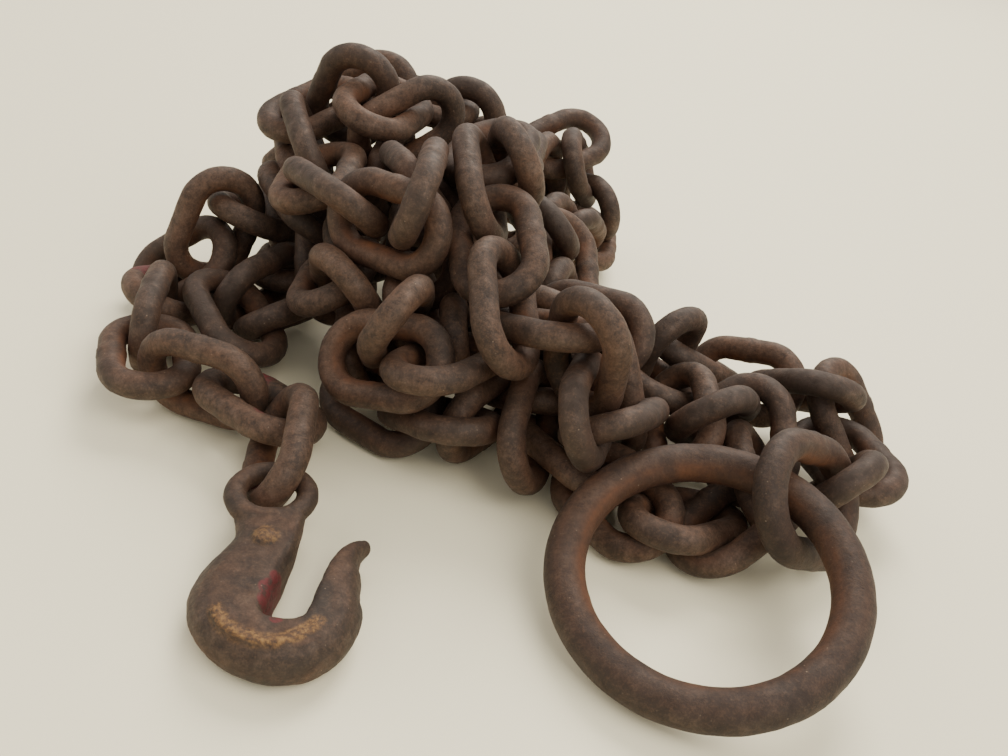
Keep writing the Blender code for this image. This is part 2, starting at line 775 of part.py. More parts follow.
def fuse(base, others):
    for other in others:
        joint = base.modifiers.new("joint", "BOOLEAN")
        joint.operation = "UNION"
        joint.solver = "EXACT"
        joint.object = other
        graph = bpy.context.evaluated_depsgraph_get()
        mesh = bpy.data.meshes.new_from_object(base.evaluated_get(graph))
        base.modifiers.clear()
        base.data = mesh
        bpy.data.objects.remove(other)
    tidy_normals(base, 60)
    return base


def body_section(inner, outer, low, high):
    width = np.linalg.norm(outer - inner)
    bevel = min(mm(HOOK_BEVEL), width * 0.3)
    thick = high - low
    belly = [(width * share, thick * lost) for share, lost in HOOK_BELLY]
    profile = [(0.0, low + bevel), (bevel, low)]
    profile += [(across, low + lost) for across, lost in belly]
    profile += [(across, high - lost) for across, lost in belly[-2::-1]]
    profile += [(bevel, high), (0.0, high - bevel)]
    side = (outer - inner) / width
    return [(*(inner + side * across), z) for across, z in profile]


def band_section(x, y, heading, low, high):
    half = HOOK_BAND_WIDTH / 2
    side = np.array([-math.sin(heading), math.cos(heading)])
    bevel = mm(HOOK_PAD) / 2
    profile = (
        (-half, low), (half, low), (half, high - bevel),
        (half - bevel, high), (bevel - half, high), (-half, high - bevel),
    )
    return [(x + side[0] * across, y + side[1] * across, z) for across, z in profile]


def swept(name, sections, material):
    sides = len(sections[0])
    vertices = [np.array(point) / 1000.0 for ring in sections for point in ring]
    faces = [tuple(range(sides)), tuple(range((len(sections) - 1) * sides, len(sections) * sides))]
    for step in range(len(sections) - 1):
        for side in range(sides):
            a = step * sides + side
            b = step * sides + (side + 1) % sides
            faces.append((a, b, b + sides, a + sides))
    item = mesh_object(name, vertices, faces, material)
    tidy_normals(item, 40)
    return item


def headings(points):
    points = np.array(points)
    run = np.gradient(points, axis=0)
    return np.arctan2(run[:, 1], run[:, 0])


def hook(material):
    thick = mm(HOOK_THICKNESS)
    sections = []
    for inner, outer, low, high in hook_rails():
        sections.append(body_section(inner, outer, thick * low, thick * high))
    body = swept("grab_hook", sections, material)
    spread = LINK_INSIDE_LENGTH / READ_PITCH
    middle = np.array([EYE_MIDDLE[0] * spread, EYE_MIDDLE[1] * spread, mm(HOOK_EYE_RISE)])
    line = circle_line(mm(HOOK_EYE_HOLE + HOOK_EYE_RIM) / 2, EYE_STEPS)
    eye = bar_loop("eye", middle, np.eye(3), line, mm(HOOK_EYE_RIM) / 2, BAR_SIDES, material)
    band = hook_band(material, thick)
    oval = hook_oval(material, thick)
    return fuse(body, [eye, band, oval])


def hook_band(material, thick):
    spread = LINK_INSIDE_LENGTH / READ_PITCH
    points = [(EYE_MIDDLE[0] * spread + x, EYE_MIDDLE[1] * spread + y) for x, y in HOOK_BAND]
    pad = mm(HOOK_PAD)
    sections = []
    for (x, y), heading in zip(points, headings(points)):
        sections.append(band_section(x, y, heading, thick - 5 * pad, thick + pad))
    return swept("band", sections, material)


def hook_oval(material, thick):
    spread = LINK_INSIDE_LENGTH / READ_PITCH
    x, y, half_width, half_height, rise = HOOK_OVAL
    pad = mm(HOOK_PAD)
    rings = []
    for z in (thick * rise - 5 * pad, thick * rise + pad):
        ring = []
        for side in range(OVAL_STEPS):
            angle = 2 * math.pi * side / OVAL_STEPS
            across = EYE_MIDDLE[0] * spread + x + half_width * math.cos(angle)
            back = EYE_MIDDLE[1] * spread + y + half_height * math.sin(angle)
            ring.append((across, back, z))
        rings.append(ring)
    return swept("oval", rings, material)


# Assembly


def run_of(number):
    for name, first, last in RUNS:
        if first <= number <= last:
            return name
    return None


def seated_pieces():
    links = chain_pieces()
    pieces = links + [coupler_piece(), ring_piece(), eye_piece(), hook_body_piece()]
    last = len(links) - 1
    coupler, ring, eye = last + 1, last + 2, last + 3
    partners = [(index, index + 1) for index in range(last)]
    partners += [(last, coupler), (coupler, ring), (eye, 0)]
    fused = []
    for index in range(last):
        if run_of(index + 1) and run_of(index + 1) == run_of(index + 2):
            fused.append((index, index + 1))
    heap = seat(make_heap(pieces, partners, fused))
    for index, piece in enumerate(pieces):
        piece["middle"] = heap["middle"][index]
        piece["axes"] = heap["axes"][index]
    return pieces


def build_chain(pieces, material):
    runs = {}
    for index, row in enumerate(ROUTE):
        piece = pieces[index]
        run = run_of(index + 1)
        sides = BAR_SIDES if len(row) == 6 else BURIED_BAR_SIDES
        name = piece["name"]
        item = bar_loop(name, piece["middle"], piece["axes"], piece["line"], piece["radius"], sides, material)
        if run:
            runs.setdefault(run, []).append(item)
    for name, items in runs.items():
        fused = fuse(items[0], items[1:])
        fused.name = name
        fused.data.name = name


def place_on_ground():
    items = list(bpy.context.scene.objects)
    corners = np.array([vertex.co for item in items for vertex in item.data.vertices])
    low = corners.min(0)
    high = corners.max(0)
    shift = Matrix.Translation((-(low[0] + high[0]) / 2, -(low[1] + high[1]) / 2, -low[2]))
    for item in items:
        item.data.transform(shift)
    print("size", (high - low).round(4), "lowest", low[2].round(6))


def main():
    for item in list(bpy.data.objects):
        bpy.data.objects.remove(item)
    pieces = seated_pieces()
    chain_steel = steel("rusty_chain_steel", (0.115, 0.062, 0.042), 0.62, 0.55)
    ring_steel = steel("rusty_ring_steel", (0.100, 0.064, 0.050), 0.58, 0.55)
    hook_steel = steel("forged_hook_steel", (0.105, 0.070, 0.052), 0.55, 0.55)
    build_chain(pieces, chain_steel)
    coupler, ring = pieces[len(ROUTE)], pieces[len(ROUTE) + 1]
    for piece, sides in ((coupler, BAR_SIDES), (ring, RING_SIDES)):
        name, middle, axes = piece["name"], piece["middle"], piece["axes"]
        bar_loop(name, middle, axes, piece["line"], piece["radius"], sides, ring_steel)
    hook(hook_steel)
    place_on_ground()


main()
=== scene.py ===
import math

import bmesh
import bpy
import numpy as np
from mathutils import Matrix, Vector


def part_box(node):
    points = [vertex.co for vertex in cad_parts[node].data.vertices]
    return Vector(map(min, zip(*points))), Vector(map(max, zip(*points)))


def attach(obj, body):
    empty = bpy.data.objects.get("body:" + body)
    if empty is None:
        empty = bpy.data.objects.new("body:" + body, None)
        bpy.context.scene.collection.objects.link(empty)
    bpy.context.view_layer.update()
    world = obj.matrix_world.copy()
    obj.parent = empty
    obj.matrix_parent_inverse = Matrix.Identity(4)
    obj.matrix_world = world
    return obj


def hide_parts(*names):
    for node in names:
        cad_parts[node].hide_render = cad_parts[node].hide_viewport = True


# A loose heap of rusty steel chain with a grab hook and a large round ring. The
# links are laid by the same seating as in the part's source, so each one lies
# where its solid lies, and then they are made round, worn and rusty.
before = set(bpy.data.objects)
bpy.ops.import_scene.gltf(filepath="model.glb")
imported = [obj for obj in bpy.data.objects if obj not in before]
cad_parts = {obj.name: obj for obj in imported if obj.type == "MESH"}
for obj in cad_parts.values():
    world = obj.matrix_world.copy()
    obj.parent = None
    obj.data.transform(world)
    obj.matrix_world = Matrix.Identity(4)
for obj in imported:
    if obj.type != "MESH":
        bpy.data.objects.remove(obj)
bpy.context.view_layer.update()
print("frame loaded:", len(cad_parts), "nodes")


# Sizes in metres, places along the chain in millimetres
linkSizes = {"bar": 0.010, "insideLength": 0.031, "insideWidth": 0.015, "readPitch": 0.031, "crownSteps": 4}
couplerSizes = {
    "bar": 0.011, "insideLength": 0.038, "insideWidth": 0.023,
    "middle": (101, 267, 18), "angles": (35, -5, 45),
}
ringSizes = {"bar": 0.013, "outside": 0.0955, "steps": 28, "middle": (68.6, 218.9, 15.8), "lean": (8.5, -9.3)}
hookSizes = {
    "thickness": 0.016, "throat": 0.0102, "readThroat": 8.0, "throatMiddle": 16.5, "rootHalf": 4.0,
    "eyeHole": 0.0145, "eyeRim": 0.0080, "eyeRise": 0.0155, "eyeMiddle": (-61.8, 222.7), "eyeSteps": 16,
    "bodyFrom": 3, "bodyReach": 10.0,
    # from the eye: x and y of the throat side, x and y of the outer side, then the
    # shares of the thickness where it starts and ends
    "rails": (
        (14.0, -6.8, -9.3, -9.1, 0.72, 1.21),
        (14.1, -17.1, -5.3, -15.3, 0.40, 1.15),
        (13.5, -23.5, -7.8, -21.4, 0.12, 1.04),
        (13.0, -29.7, -10.4, -28.6, 0.00, 1.00),
        (12.6, -36.2, -11.3, -36.5, 0.00, 1.00),
        (12.3, -41.4, -10.0, -44.6, 0.00, 1.00),
        (12.3, -44.7, -6.3, -51.7, 0.00, 1.00),
        (13.5, -45.3, 1.0, -58.1, 0.00, 1.00),
        (15.7, -45.5, 11.1, -61.8, 0.00, 1.00),
        (17.5, -45.4, 20.3, -61.6, 0.00, 1.00),
        (18.9, -44.9, 28.2, -56.9, 0.00, 1.00),
        (20.1, -44.0, 33.7, -48.8, 0.00, 1.00),
        (20.5, -40.4, 35.5, -37.2, 0.00, 1.00),
        (21.0, -34.6, 33.0, -28.7, 0.00, 1.00),
        (21.6, -28.3, 30.7, -22.1, 0.03, 0.97),
        (23.0, -22.8, 30.0, -16.4, 0.10, 0.92),
        (25.4, -17.8, 30.6, -12.1, 0.20, 0.84),
        (27.9, -14.6, 30.7, -8.8, 0.28, 0.76),
    ),
}
# How the links settle: gaps in metres, springs, weights against turning, shares of
# the steps, margins in millimetres and how hard pieces are moved
seating = {
    "gap": 0.00015, "fusedOverlap": 0.0030, "sink": 0.00003,
    "spring": 0.40, "depthSpring": 0.05, "hiddenSpring": 0.15, "leastSpring": 0.10, "ringEase": 0.05,
    "linkSpin": 14.0, "couplerSpin": 17.0, "ringSpin": 32.0, "hiddenRolls": (20, 110),
    "seatingSteps": 800, "relistSteps": 10, "startBarShare": 0.15, "untangleShare": 0.12,
    "fullBarShare": 0.45, "settleShare": 0.80, "springShare": 0.85, "placeDigits": 5, "turnDigits": 7,
    "nearMargin": 8.0, "reachMargin": 1.0, "openingShare": 0.99, "coverShare": 0.8,
    "mostTurn": 0.25, "stepGain": 1.3, "crowdPower": 0.75, "growingCarry": 0.5, "grownCarry": 0.85,
    "crossedGain": 3.0, "crossedReach": 4.0, "pullGain": 0.6, "mostPull": 3.0,
}
# Where the places were read from, in millimetres, and how far the links spread
readFrom = (0.0, 0.0, 213.0)
spread = linkSizes["insideLength"] / linkSizes["readPitch"]

# One row for each link, from the hook to the ring: middle x, y, z, then heading,
# rise and roll in degrees. Rows with a middle only are links that the heap hides.
route = (
    # out from the hook and round the front left loop
    (-65, 242, 16, 100, 10, -45),
    (-81, 269, 12, 150, -15, 10),
    (-101, 275, 13, 150, -5, 85),
    (-124, 291, 8, 105, 0, 10),
    (-135, 305, 16, 110, 5, 80),
    (-136, 337, 12, 90, -10, 35),
    (-119, 319, 23, -15, 50, 75),
    (-123, 351, 26, -35, 70, -45),
    (-113, 376, 30, 60, -5, -15),
    (-100, 369, 32, -55, -10, -45),
    (-91, 363, 18, -75, -15, 0),
    (-95, 321, 30, -130, 10, 30),
    (-105, 308, 18, -55, 0, -25),
    (-87, 338, 8, 55, -10, 5),
    (-74, 345, 30),
    # up the left flank and over the back of the crest
    (-95, 354, 52, -70, -10, -40),
    (-105, 373, 56, -80, -5, -70),
    (-110, 400, 58),
    (-84, 417, 80, 60, 0, 35),
    (-52, 416, 80, -30, 15, 20),
    (-34, 388, 80, -100, 60, 20),
    (-9, 385, 68, -110, 5, 65),
    # down into the back of the heap and along the ground
    (-25, 410, 55),
    (-45, 425, 35),
    (-70, 425, 18),
    (-95, 415, 8),
    (-80, 440, 8),
    (-50, 445, 8),
    (-20, 450, 8),
    (0, 452, 26),
    # the strand on the back right corner, and forward along the right side
    (-1, 464, 46, -95, -5, -70),
    (6, 457, 58, 70, 0, 15),
    (17, 447, 48, 75, -40, 75),
    (27, 464, 25, -85, -20, -40),
    (24, 438, 21, -90, -10, -30),
    (20, 415, 30),
    (11, 392, 38, -95, -5, -70),
    (2, 357, 58, -85, 5, -55),
    (15, 361, 42, -75, -20, -30),
    (15, 346, 30, 65, -45, 80),
    # the hidden middle of the heap
    (5, 368, 10),
    (-22, 376, 8),
    (-47, 372, 22),
    (-35, 360, 46),
    (-20, 352, 68),
    # over the crest and down the front to the right
    (-10, 338, 86, 60, -30, 75),
    (-27, 347, 82, 80, 25, 20),
    (-22, 303, 91, -70, -15, -60),
    (-13, 315, 62, -80, -25, 10),
    (-1, 291, 58, -65, -15, -45),
    (13, 294, 38, -45, 5, 10),
    (28, 278, 36, 40, -65, -5),
    (31, 273, 19, -70, 0, -35),
    (47, 271, 14, -60, 30, 35),
    (38, 293, 22, 70, -60, 75),
    (21, 304, 44, -60, 10, -25),
    (0, 315, 38),
    # the front middle fold
    (-25, 324, 36, 85, -60, 75),
    (-17, 299, 34, 85, -55, 75),
    (-20, 282, 29, 45, -5, 5),
    (-36, 270, 32, -30, 35, 25),
    (-43, 302, 38, 80, -60, 70),
    (-35, 300, 42, -80, 5, -70),
    (-42, 326, 56),
    (-50, 351, 68, -80, -5, -80),
    # the loop on the upper left
    (-37, 321, 72, 80, 15, 90),
    (-51, 322, 62, -30, 10, 75),
    (-66, 316, 72, -50, 5, -25),
    (-76, 332, 70, -95, -5, 0),
    (-91, 357, 66, -60, -5, -55),
    (-93, 402, 72, 40, 0, -5),
    (-83, 382, 78, 120, -40, 25),
    (-67, 371, 90, 60, -20, 15),
    (-50, 379, 80, 40, -15, 0),
    (-63, 374, 65, -80, -5, -80),
    (-62, 350, 46),
    (-57, 323, 40),
    (-52, 300, 48, -75, 10, -60),
    (-63, 312, 23, -80, -5, -85),
    # along the ground at the front, then under the ring
    (-44, 285, 9, -25, 5, 5),
    (-11, 274, 11, -65, 15, 15),
    (-10, 280, 15, -80, 15, -65),
    (11, 284, 17, -60, 25, 10),
    (19, 274, 25, -80, 5, -50),
    (19, 277, 10, -45, 15, 5),
    (47, 251, 11, -45, 20, 15),
    (63, 250, 13, 40, -20, -30),
    (79, 254, 10, 40, -15, -5),
    (84, 262, 9),
    (80, 272, 12),
    # the loop on the right that comes back to the ring
    (75, 283, 17, -65, 20, -10),
    (67, 293, 20, -95, 0, 15),
    (54, 304, 26, -60, 10, -20),
    (56, 331, 22, 70, -60, -20),
    (69, 332, 23, 15, -20, -10),
    (96, 345, 14, 15, -5, 65),
    (107, 318, 23, -65, 15, -10),
    (123, 318, 14, 15, -5, 55),
    (127, 288, 18, -90, 0, 15),
    (121, 277, 15, -130, 10, -70),
)

fusedRuns = (
    ("run_left_low", 9, 11),
    ("run_left_rise", 13, 18),
    ("run_back_core", 22, 31),
    ("run_back_right", 33, 37),
    ("run_middle_core", 39, 45),
    ("run_front_right", 53, 55),
    ("run_front_inner", 57, 58),
    ("run_front_upper", 62, 65),
    ("run_left_inner", 75, 79),
    ("run_front_low", 82, 85),
    ("run_under_ring", 86, 91),
)


def mm(metres):
    return metres * 1000.0


def unit(vectors):
    return vectors / np.linalg.norm(vectors, axis=-1, keepdims=True)


def circleLine(radius, steps):
    angles = np.linspace(0, 2 * math.pi, steps, endpoint=False)
    return np.stack([radius * np.cos(angles), radius * np.sin(angles), 0 * angles], 1)


def axesFrom(along, roll):
    level = unit(np.cross([0.0, 0.0, 1.0], along))
    across = math.cos(roll) * level + math.sin(roll) * np.cross(along, level)
    return np.stack([along, across, np.cross(along, across)], 1)


def axesFromAngles(heading, rise, roll):
    heading, rise, roll = np.radians([heading, rise, roll])
    level = math.cos(rise)
    return axesFrom(np.array([level * math.cos(heading), level * math.sin(heading), math.sin(rise)]), roll)


def newPiece(middle, axes, line, radius, opening, ease=1.0, spring=1.0, spin=seating["linkSpin"]):
    return {
        "middle": np.array(middle, float), "axes": axes, "line": line, "radius": radius,
        "opening": opening, "ease": ease, "spring": spring, "spin": spin,
    }


def linkPiece(sizes, middle, axes, **hold):
    crown = mm(sizes["insideWidth"] + sizes["bar"]) / 2
    reach = mm(sizes["insideLength"] + sizes["bar"]) / 2 - crown
    angles = np.linspace(-math.pi / 2, math.pi / 2, linkSizes["crownSteps"] + 1)
    end = np.stack([reach + crown * np.cos(angles), crown * np.sin(angles), 0 * angles], 1)
    return newPiece(middle, axes, np.concatenate([end, -end]), mm(sizes["bar"]) / 2, (reach, crown), **hold)


def chainPieces():
    middles = np.array([row[:3] for row in route]) * spread
    links = []
    for index, row in enumerate(route):
        if len(row) == 6:
            links.append(linkPiece(linkSizes, middles[index], axesFromAngles(*row[3:])))
        else:
            along = unit(middles[index + 1] - middles[index - 1])
            axes = axesFrom(along, math.radians(seating["hiddenRolls"][index % 2]))
            links.append(linkPiece(linkSizes, middles[index], axes, spring=seating["hiddenSpring"]))
    return links


def couplerPiece():
    middle = np.array(couplerSizes["middle"]) * spread
    axes = axesFromAngles(*couplerSizes["angles"])
    return linkPiece(couplerSizes, middle, axes, spin=seating["couplerSpin"])


def ringPiece():
    crown = mm(ringSizes["outside"] - ringSizes["bar"]) / 2
    leanX, leanY = np.radians(ringSizes["lean"])
    facing = unit(np.array([math.sin(leanY), -math.sin(leanX), 1.0]))
    side = unit(np.cross([0.0, 1.0, 0.0], facing))
    axes = np.stack([side, np.cross(facing, side), facing], 1)
    return newPiece(np.array(ringSizes["middle"]) * spread, axes, circleLine(crown, ringSizes["steps"]),
                    mm(ringSizes["bar"]) / 2, (0.0, crown), seating["ringEase"], spin=seating["ringSpin"])


def eyePiece():
    radius = mm(hookSizes["eyeHole"] + hookSizes["eyeRim"]) / 2
    middle = (*np.array(hookSizes["eyeMiddle"]) * spread, mm(hookSizes["eyeRise"]))
    line = circleLine(radius, hookSizes["eyeSteps"])
    return newPiece(middle, np.eye(3), line, mm(hookSizes["eyeRim"]) / 2, (0.0, radius), ease=0.0)


def hookBodyPiece():
    # The middle of the hook's bar, with the throat widened as in the source
    eye = np.array(hookSizes["eyeMiddle"]) * spread
    widen = (mm(hookSizes["throat"]) - hookSizes["readThroat"]) / 2
    line = []
    for innerX, innerY, outerX, outerY, low, high in hookSizes["rails"][hookSizes["bodyFrom"]:]:
        side = min(max((innerX - hookSizes["throatMiddle"]) / hookSizes["rootHalf"], -1.0), 1.0)
        inner = eye + (innerX + widen * side, innerY)
        outer = eye + (outerX + widen * max(side, 0.0), outerY)
        line.append((*(inner + outer) / 2, mm(hookSizes["thickness"]) * (low + high) / 2))
    return newPiece((0, 0, 0), np.eye(3), np.array(line), hookSizes["bodyReach"], None, ease=0.0)


def closestPoints(startA, endA, startB, endB):
    runA = endA - startA
    runB = endB - startB
    between = startA - startB
    aa = (runA * runA).sum(1)
    bb = (runB * runB).sum(1)
    ab = (runA * runB).sum(1)
    fa = (runA * between).sum(1)
    fb = (runB * between).sum(1)
    square = aa * bb - ab * ab
    crossed = square > 1e-9
    shareA = np.where(crossed, (ab * fb - fa * bb) / np.where(crossed, square, 1.0), 0.5).clip(0, 1)
    shareB = ((ab * shareA + fb) / bb).clip(0, 1)
    shareA = ((ab * shareB - fa) / aa).clip(0, 1)
    return startA + runA * shareA[:, None], startB + runB * shareB[:, None]


def threading(heap, host, guest):
    # How often the guest's line goes through the host's opening, and how deep
    # its shorter side reaches past the host's plane.
    offset = heap["middle"][guest] - heap["middle"][host]
    corners = np.einsum("pij,pkj->pki", heap["axes"][guest], heap["lines"][guest]) + offset[:, None, :]
    local = np.einsum("pki,pij->pkj", corners, heap["axes"][host])
    following = np.roll(local, -1, 1)
    height = local[..., 2]
    crosses = (height > 0) != (following[..., 2] > 0)
    drop = np.where(crosses, height - following[..., 2], 1.0)
    share = np.where(crosses, height / drop, 0.0)
    x = local[..., 0] + share * (following[..., 0] - local[..., 0])
    y = local[..., 1] + share * (following[..., 1] - local[..., 1])
    reach = heap["reach"][host][:, None]
    crown = heap["crown"][host][:, None] * seating["openingShare"]
    inside = (x - x.clip(-reach, reach)) ** 2 + y ** 2 < crown ** 2
    count = (crosses & inside).sum(1)
    above = height.max(1)
    below = -height.min(1)
    dip = np.where(above < below, above, -below)
    return count % 2 == 1, np.where(count >= 2, dip, 0.0)


def makeHeap(pieces, partners, fused):
    count = len(pieces)
    corners = 2 * (linkSizes["crownSteps"] + 1)
    heap = {
        **{key: np.array([piece[key] for piece in pieces]) for key in ("middle", "axes", "ease", "spring")},
        "spin": np.array([piece["spin"] for piece in pieces]) ** 2,
        "reach": np.array([(piece["opening"] or (0.0, 0.0))[0] for piece in pieces]),
        "crown": np.array([(piece["opening"] or (0.0, 0.0))[1] for piece in pieces]),
        "hollow": np.array([piece["opening"] is not None for piece in pieces]),
        "guest": np.array([len(piece["line"]) == corners for piece in pieces]),
        "partner": np.zeros((count, count), bool),
        "fused": np.zeros((count, count), bool),
    }
    heap["lines"] = np.array([
        piece["line"] if len(piece["line"]) == corners else np.zeros((corners, 3)) for piece in pieces
    ])
    for first, second in partners:
        heap["partner"][first, second] = heap["partner"][second, first] = True
    for first, second in fused:
        heap["fused"][first, second] = heap["fused"][second, first] = True
    bodies, starts, ends, radii = [], [], [], []
    for index, piece in enumerate(pieces):
        line = piece["line"]
        closed = piece["opening"] is not None
        following = np.roll(line, -1, 0) if closed else line[1:]
        line = line if closed else line[:-1]
        bodies.append(np.full(len(line), index))
        starts.append(line)
        ends.append(following)
        radii.append(np.full(len(line), piece["radius"] + mm(seating["gap"])))
    heap["body"] = np.concatenate(bodies)
    heap["start"] = np.concatenate(starts)
    heap["end"] = np.concatenate(ends)
    heap["radius"] = np.concatenate(radii)
    heap["half"] = np.linalg.norm(heap["end"] - heap["start"], axis=1) / 2
    return heap


def barsInPlace(heap):
    axes = heap["axes"][heap["body"]]
    middle = heap["middle"][heap["body"]]
    start = np.einsum("sij,sj->si", axes, heap["start"]) + middle
    end = np.einsum("sij,sj->si", axes, heap["end"]) + middle
    return start, end


def nearBars(heap, start, end, margin):
    middle = (start + end) / 2
    size = heap["half"] + heap["radius"]
    first, second = [], []
    for index in range(len(middle) - 1):
        rest = slice(index + 1, None)
        apart = np.abs(middle[rest] - middle[index]).max(1)
        close = np.nonzero(apart < size[rest] + size[index] + margin)[0] + index + 1
        first.append(np.full(len(close), index))
        second.append(close)
    first = np.concatenate(first)
    second = np.concatenate(second)
    bodyA = heap["body"][first]
    bodyB = heap["body"][second]
    moving = (heap["ease"][bodyA] > 0) | (heap["ease"][bodyB] > 0)
    kept = (bodyA != bodyB) & moving
    first, second = first[kept], second[kept]
    key = heap["body"][first] * len(heap["middle"]) + heap["body"][second]
    order = np.argsort(key, kind="stable")
    first, second, key = first[order], second[order], key[order]
    opens = np.concatenate([[True], key[1:] != key[:-1]])
    return first, second, np.cumsum(opens) - 1, heap["body"][first[opens]], heap["body"][second[opens]]


def addPush(sums, heap, body, amount, direction, lever, weight):
    shift, turn, count = sums
    part = (amount * heap["ease"][body])[:, None]
    np.add.at(shift, body, part * direction)
    np.add.at(turn, body, part * np.cross(lever, direction) / heap["spin"][body][:, None])
    np.add.at(count, body, weight)


def pushPairs(sums, heap, bodies, points, direction, amount, weight):
    levers = [points[side] - heap["middle"][bodies[side]] for side in (0, 1)]
    give = 1e-9
    for side in (0, 1):
        turned = (np.cross(levers[side], direction) ** 2).sum(1) / heap["spin"][bodies[side]]
        give = give + heap["ease"][bodies[side]] * (1 + turned)
    amount = amount * weight[0] / give
    addPush(sums, heap, bodies[0], amount, direction, levers[0], weight[1])
    addPush(sums, heap, bodies[1], -amount, direction, levers[1], weight[1])


def pushOffGround(sums, heap, start):
    low = start[:, 2] - heap["radius"]
    under = np.nonzero((low < 0) & (heap["ease"][heap["body"]] > 0))[0]
    body = heap["body"][under]
    share = 1.0 / np.bincount(body, minlength=len(heap["middle"]))[body]
    lever = start[under] - heap["middle"][body]
    up = np.broadcast_to([0.0, 0.0, 1.0], lever.shape)
    turned = (np.cross(lever, up) ** 2).sum(1) / heap["spin"][body]
    amount = -2 * low[under] / (1 + turned) * share / heap["ease"][body]
    addPush(sums, heap, body, amount, up, lever, share)


def withdrawDips(sums, heap, host, guest, dip, thick):
    deep = np.nonzero(dip)[0]
    host, guest, dip = host[deep], guest[deep], dip[deep]
    away = -(dip + np.sign(dip) * thick)[:, None] * heap["axes"][host][:, :, 2] / 2
    np.add.at(sums[0], guest, away)
    np.add.at(sums[0], host, -away)
    np.add.at(sums[2], guest, 1)
    np.add.at(sums[2], host, 1)


def pullToReading(heap, readMiddle, readAxes, shift, turn, strength):
    off = readMiddle - heap["middle"]
    sight = unit(readMiddle - np.array(readFrom))
    along = (off * sight).sum(1)[:, None] * sight
    pull = (strength * heap["spring"])[:, None]
    shift += pull * (off - (1 - seating["depthSpring"]) * along)
    axes = heap["axes"]
    twist = np.cross(axes[:, :, 0], readAxes[:, :, 0]) + np.cross(axes[:, :, 1], readAxes[:, :, 1])
    turn += pull * twist / 2


def move(heap, shift, turn):
    # Places are rounded, so that every computer lays the same heap.
    angle = np.linalg.norm(turn, axis=1)
    turn = turn * np.minimum(1.0, seating["mostTurn"] / np.maximum(angle, 1e-9))[:, None]
    loose = (heap["ease"] > 0)[:, None]
    heap["middle"] = (heap["middle"] + shift * loose).round(seating["placeDigits"])
    along = heap["axes"][:, :, 0]
    across = heap["axes"][:, :, 1]
    along = unit(along + np.cross(turn * loose, along)).round(seating["turnDigits"])
    across = across + np.cross(turn * loose, across)
    across = unit(across - (across * along).sum(1)[:, None] * along).round(seating["turnDigits"])
    heap["axes"] = np.stack([along, across, np.cross(along, across)], 2)


def seenShares(heap):
    # How much of each piece shows from where the places were read: what shows
    # most is held closest to its reading.
    start, end = barsInPlace(heap)
    eye = np.array(readFrom)
    seen = np.zeros(len(heap["middle"]))
    for index in range(len(start)):
        others = heap["body"] != heap["body"][index]
        count = others.sum()
        sight = np.broadcast_to(eye, (count, 3))
        corner = np.broadcast_to(start[index], (count, 3))
        atA, atB = closestPoints(sight, corner, start[others], end[others])
        covered = np.linalg.norm(atA - atB, axis=1) < heap["radius"][others] * seating["coverShare"]
        seen[heap["body"][index]] += not covered.any()
    return seen / np.bincount(heap["body"])


def listPairs(heap, start, end):
    first, second, pair, bodyA, bodyB = nearBars(heap, start, end, seating["nearMargin"])
    partner = heap["partner"][bodyA, bodyB]
    hollow = heap["hollow"][bodyA] & heap["hollow"][bodyB]
    swap = ~heap["guest"][bodyB]
    host = np.where(swap, bodyB, bodyA)
    guest = np.where(swap, bodyA, bodyB)
    known = np.nonzero(hollow & (heap["guest"][bodyA] | heap["guest"][bodyB]))[0]
    apart = known[heap["guest"][host[known]] & ~partner[known]]
    return {
        "first": first, "second": second, "pair": pair, "partner": partner, "host": host, "guest": guest,
        "overlap": np.where(heap["fused"][bodyA, bodyB], mm(seating["fusedOverlap"]), 0.0),
        "known": known, "apart": apart, "whereApart": np.searchsorted(known, apart),
    }


def barsThatMeet(heap, pairs, start, end, wrong, untangling, growth):
    # Bars that touch are pushed apart, partners that came apart are pulled
    # together, and wrongly threaded pairs pass through each other.
    first, second, pair = pairs["first"], pairs["second"], pairs["pair"]
    partner = pairs["partner"]
    size = heap["half"] + heap["radius"]
    reach = size[first] + size[second] + seating["reachMargin"]
    off = (start[first] + end[first] - start[second] - end[second]) / 2
    near = ((off ** 2).sum(1) < reach ** 2) | partner[pair] | untangling
    barA, barB, group = first[near], second[near], pair[near]
    atA, atB = closestPoints(start[barA], end[barA], start[barB], end[barB])
    gap = atA - atB
    distance = np.linalg.norm(gap, axis=1)
    direction = gap / np.maximum(distance, 1e-6)[:, None]
    wanted = (heap["radius"][barA] + heap["radius"][barB] - pairs["overlap"][group]) * growth
    space = distance - wanted
    order = np.lexsort((distance, group))
    leads = np.concatenate([[True], group[order][1:] != group[order][:-1]])
    nearest = np.full(len(partner), -1)
    nearest[group[order][leads]] = order[leads]
    pushed = np.nonzero((space < 0) & ~wrong[group])[0]
    crossed = nearest[wrong & (nearest >= 0)]
    pulled = nearest[partner & ~wrong & (nearest >= 0)]
    pulled = pulled[space[pulled] > mm(seating["gap"])]
    amount = np.concatenate([
        -space[pushed],
        -seating["crossedGain"] * (distance[crossed] + np.minimum(wanted[crossed], seating["crossedReach"])),
        -seating["pullGain"] * np.minimum(space[pulled] - mm(seating["gap"]) * 2 / 3, seating["mostPull"]),
    ])
    chosen = np.concatenate([pushed, crossed, pulled])
    share = 1.0 / np.bincount(group[chosen], minlength=len(partner))[group[chosen]]
    bodies = (heap["body"][barA[chosen]], heap["body"][barB[chosen]])
    deepest = -space[pushed].min() if len(pushed) else 0.0
    return bodies, (atA[chosen], atB[chosen]), direction[chosen], amount, share, deepest


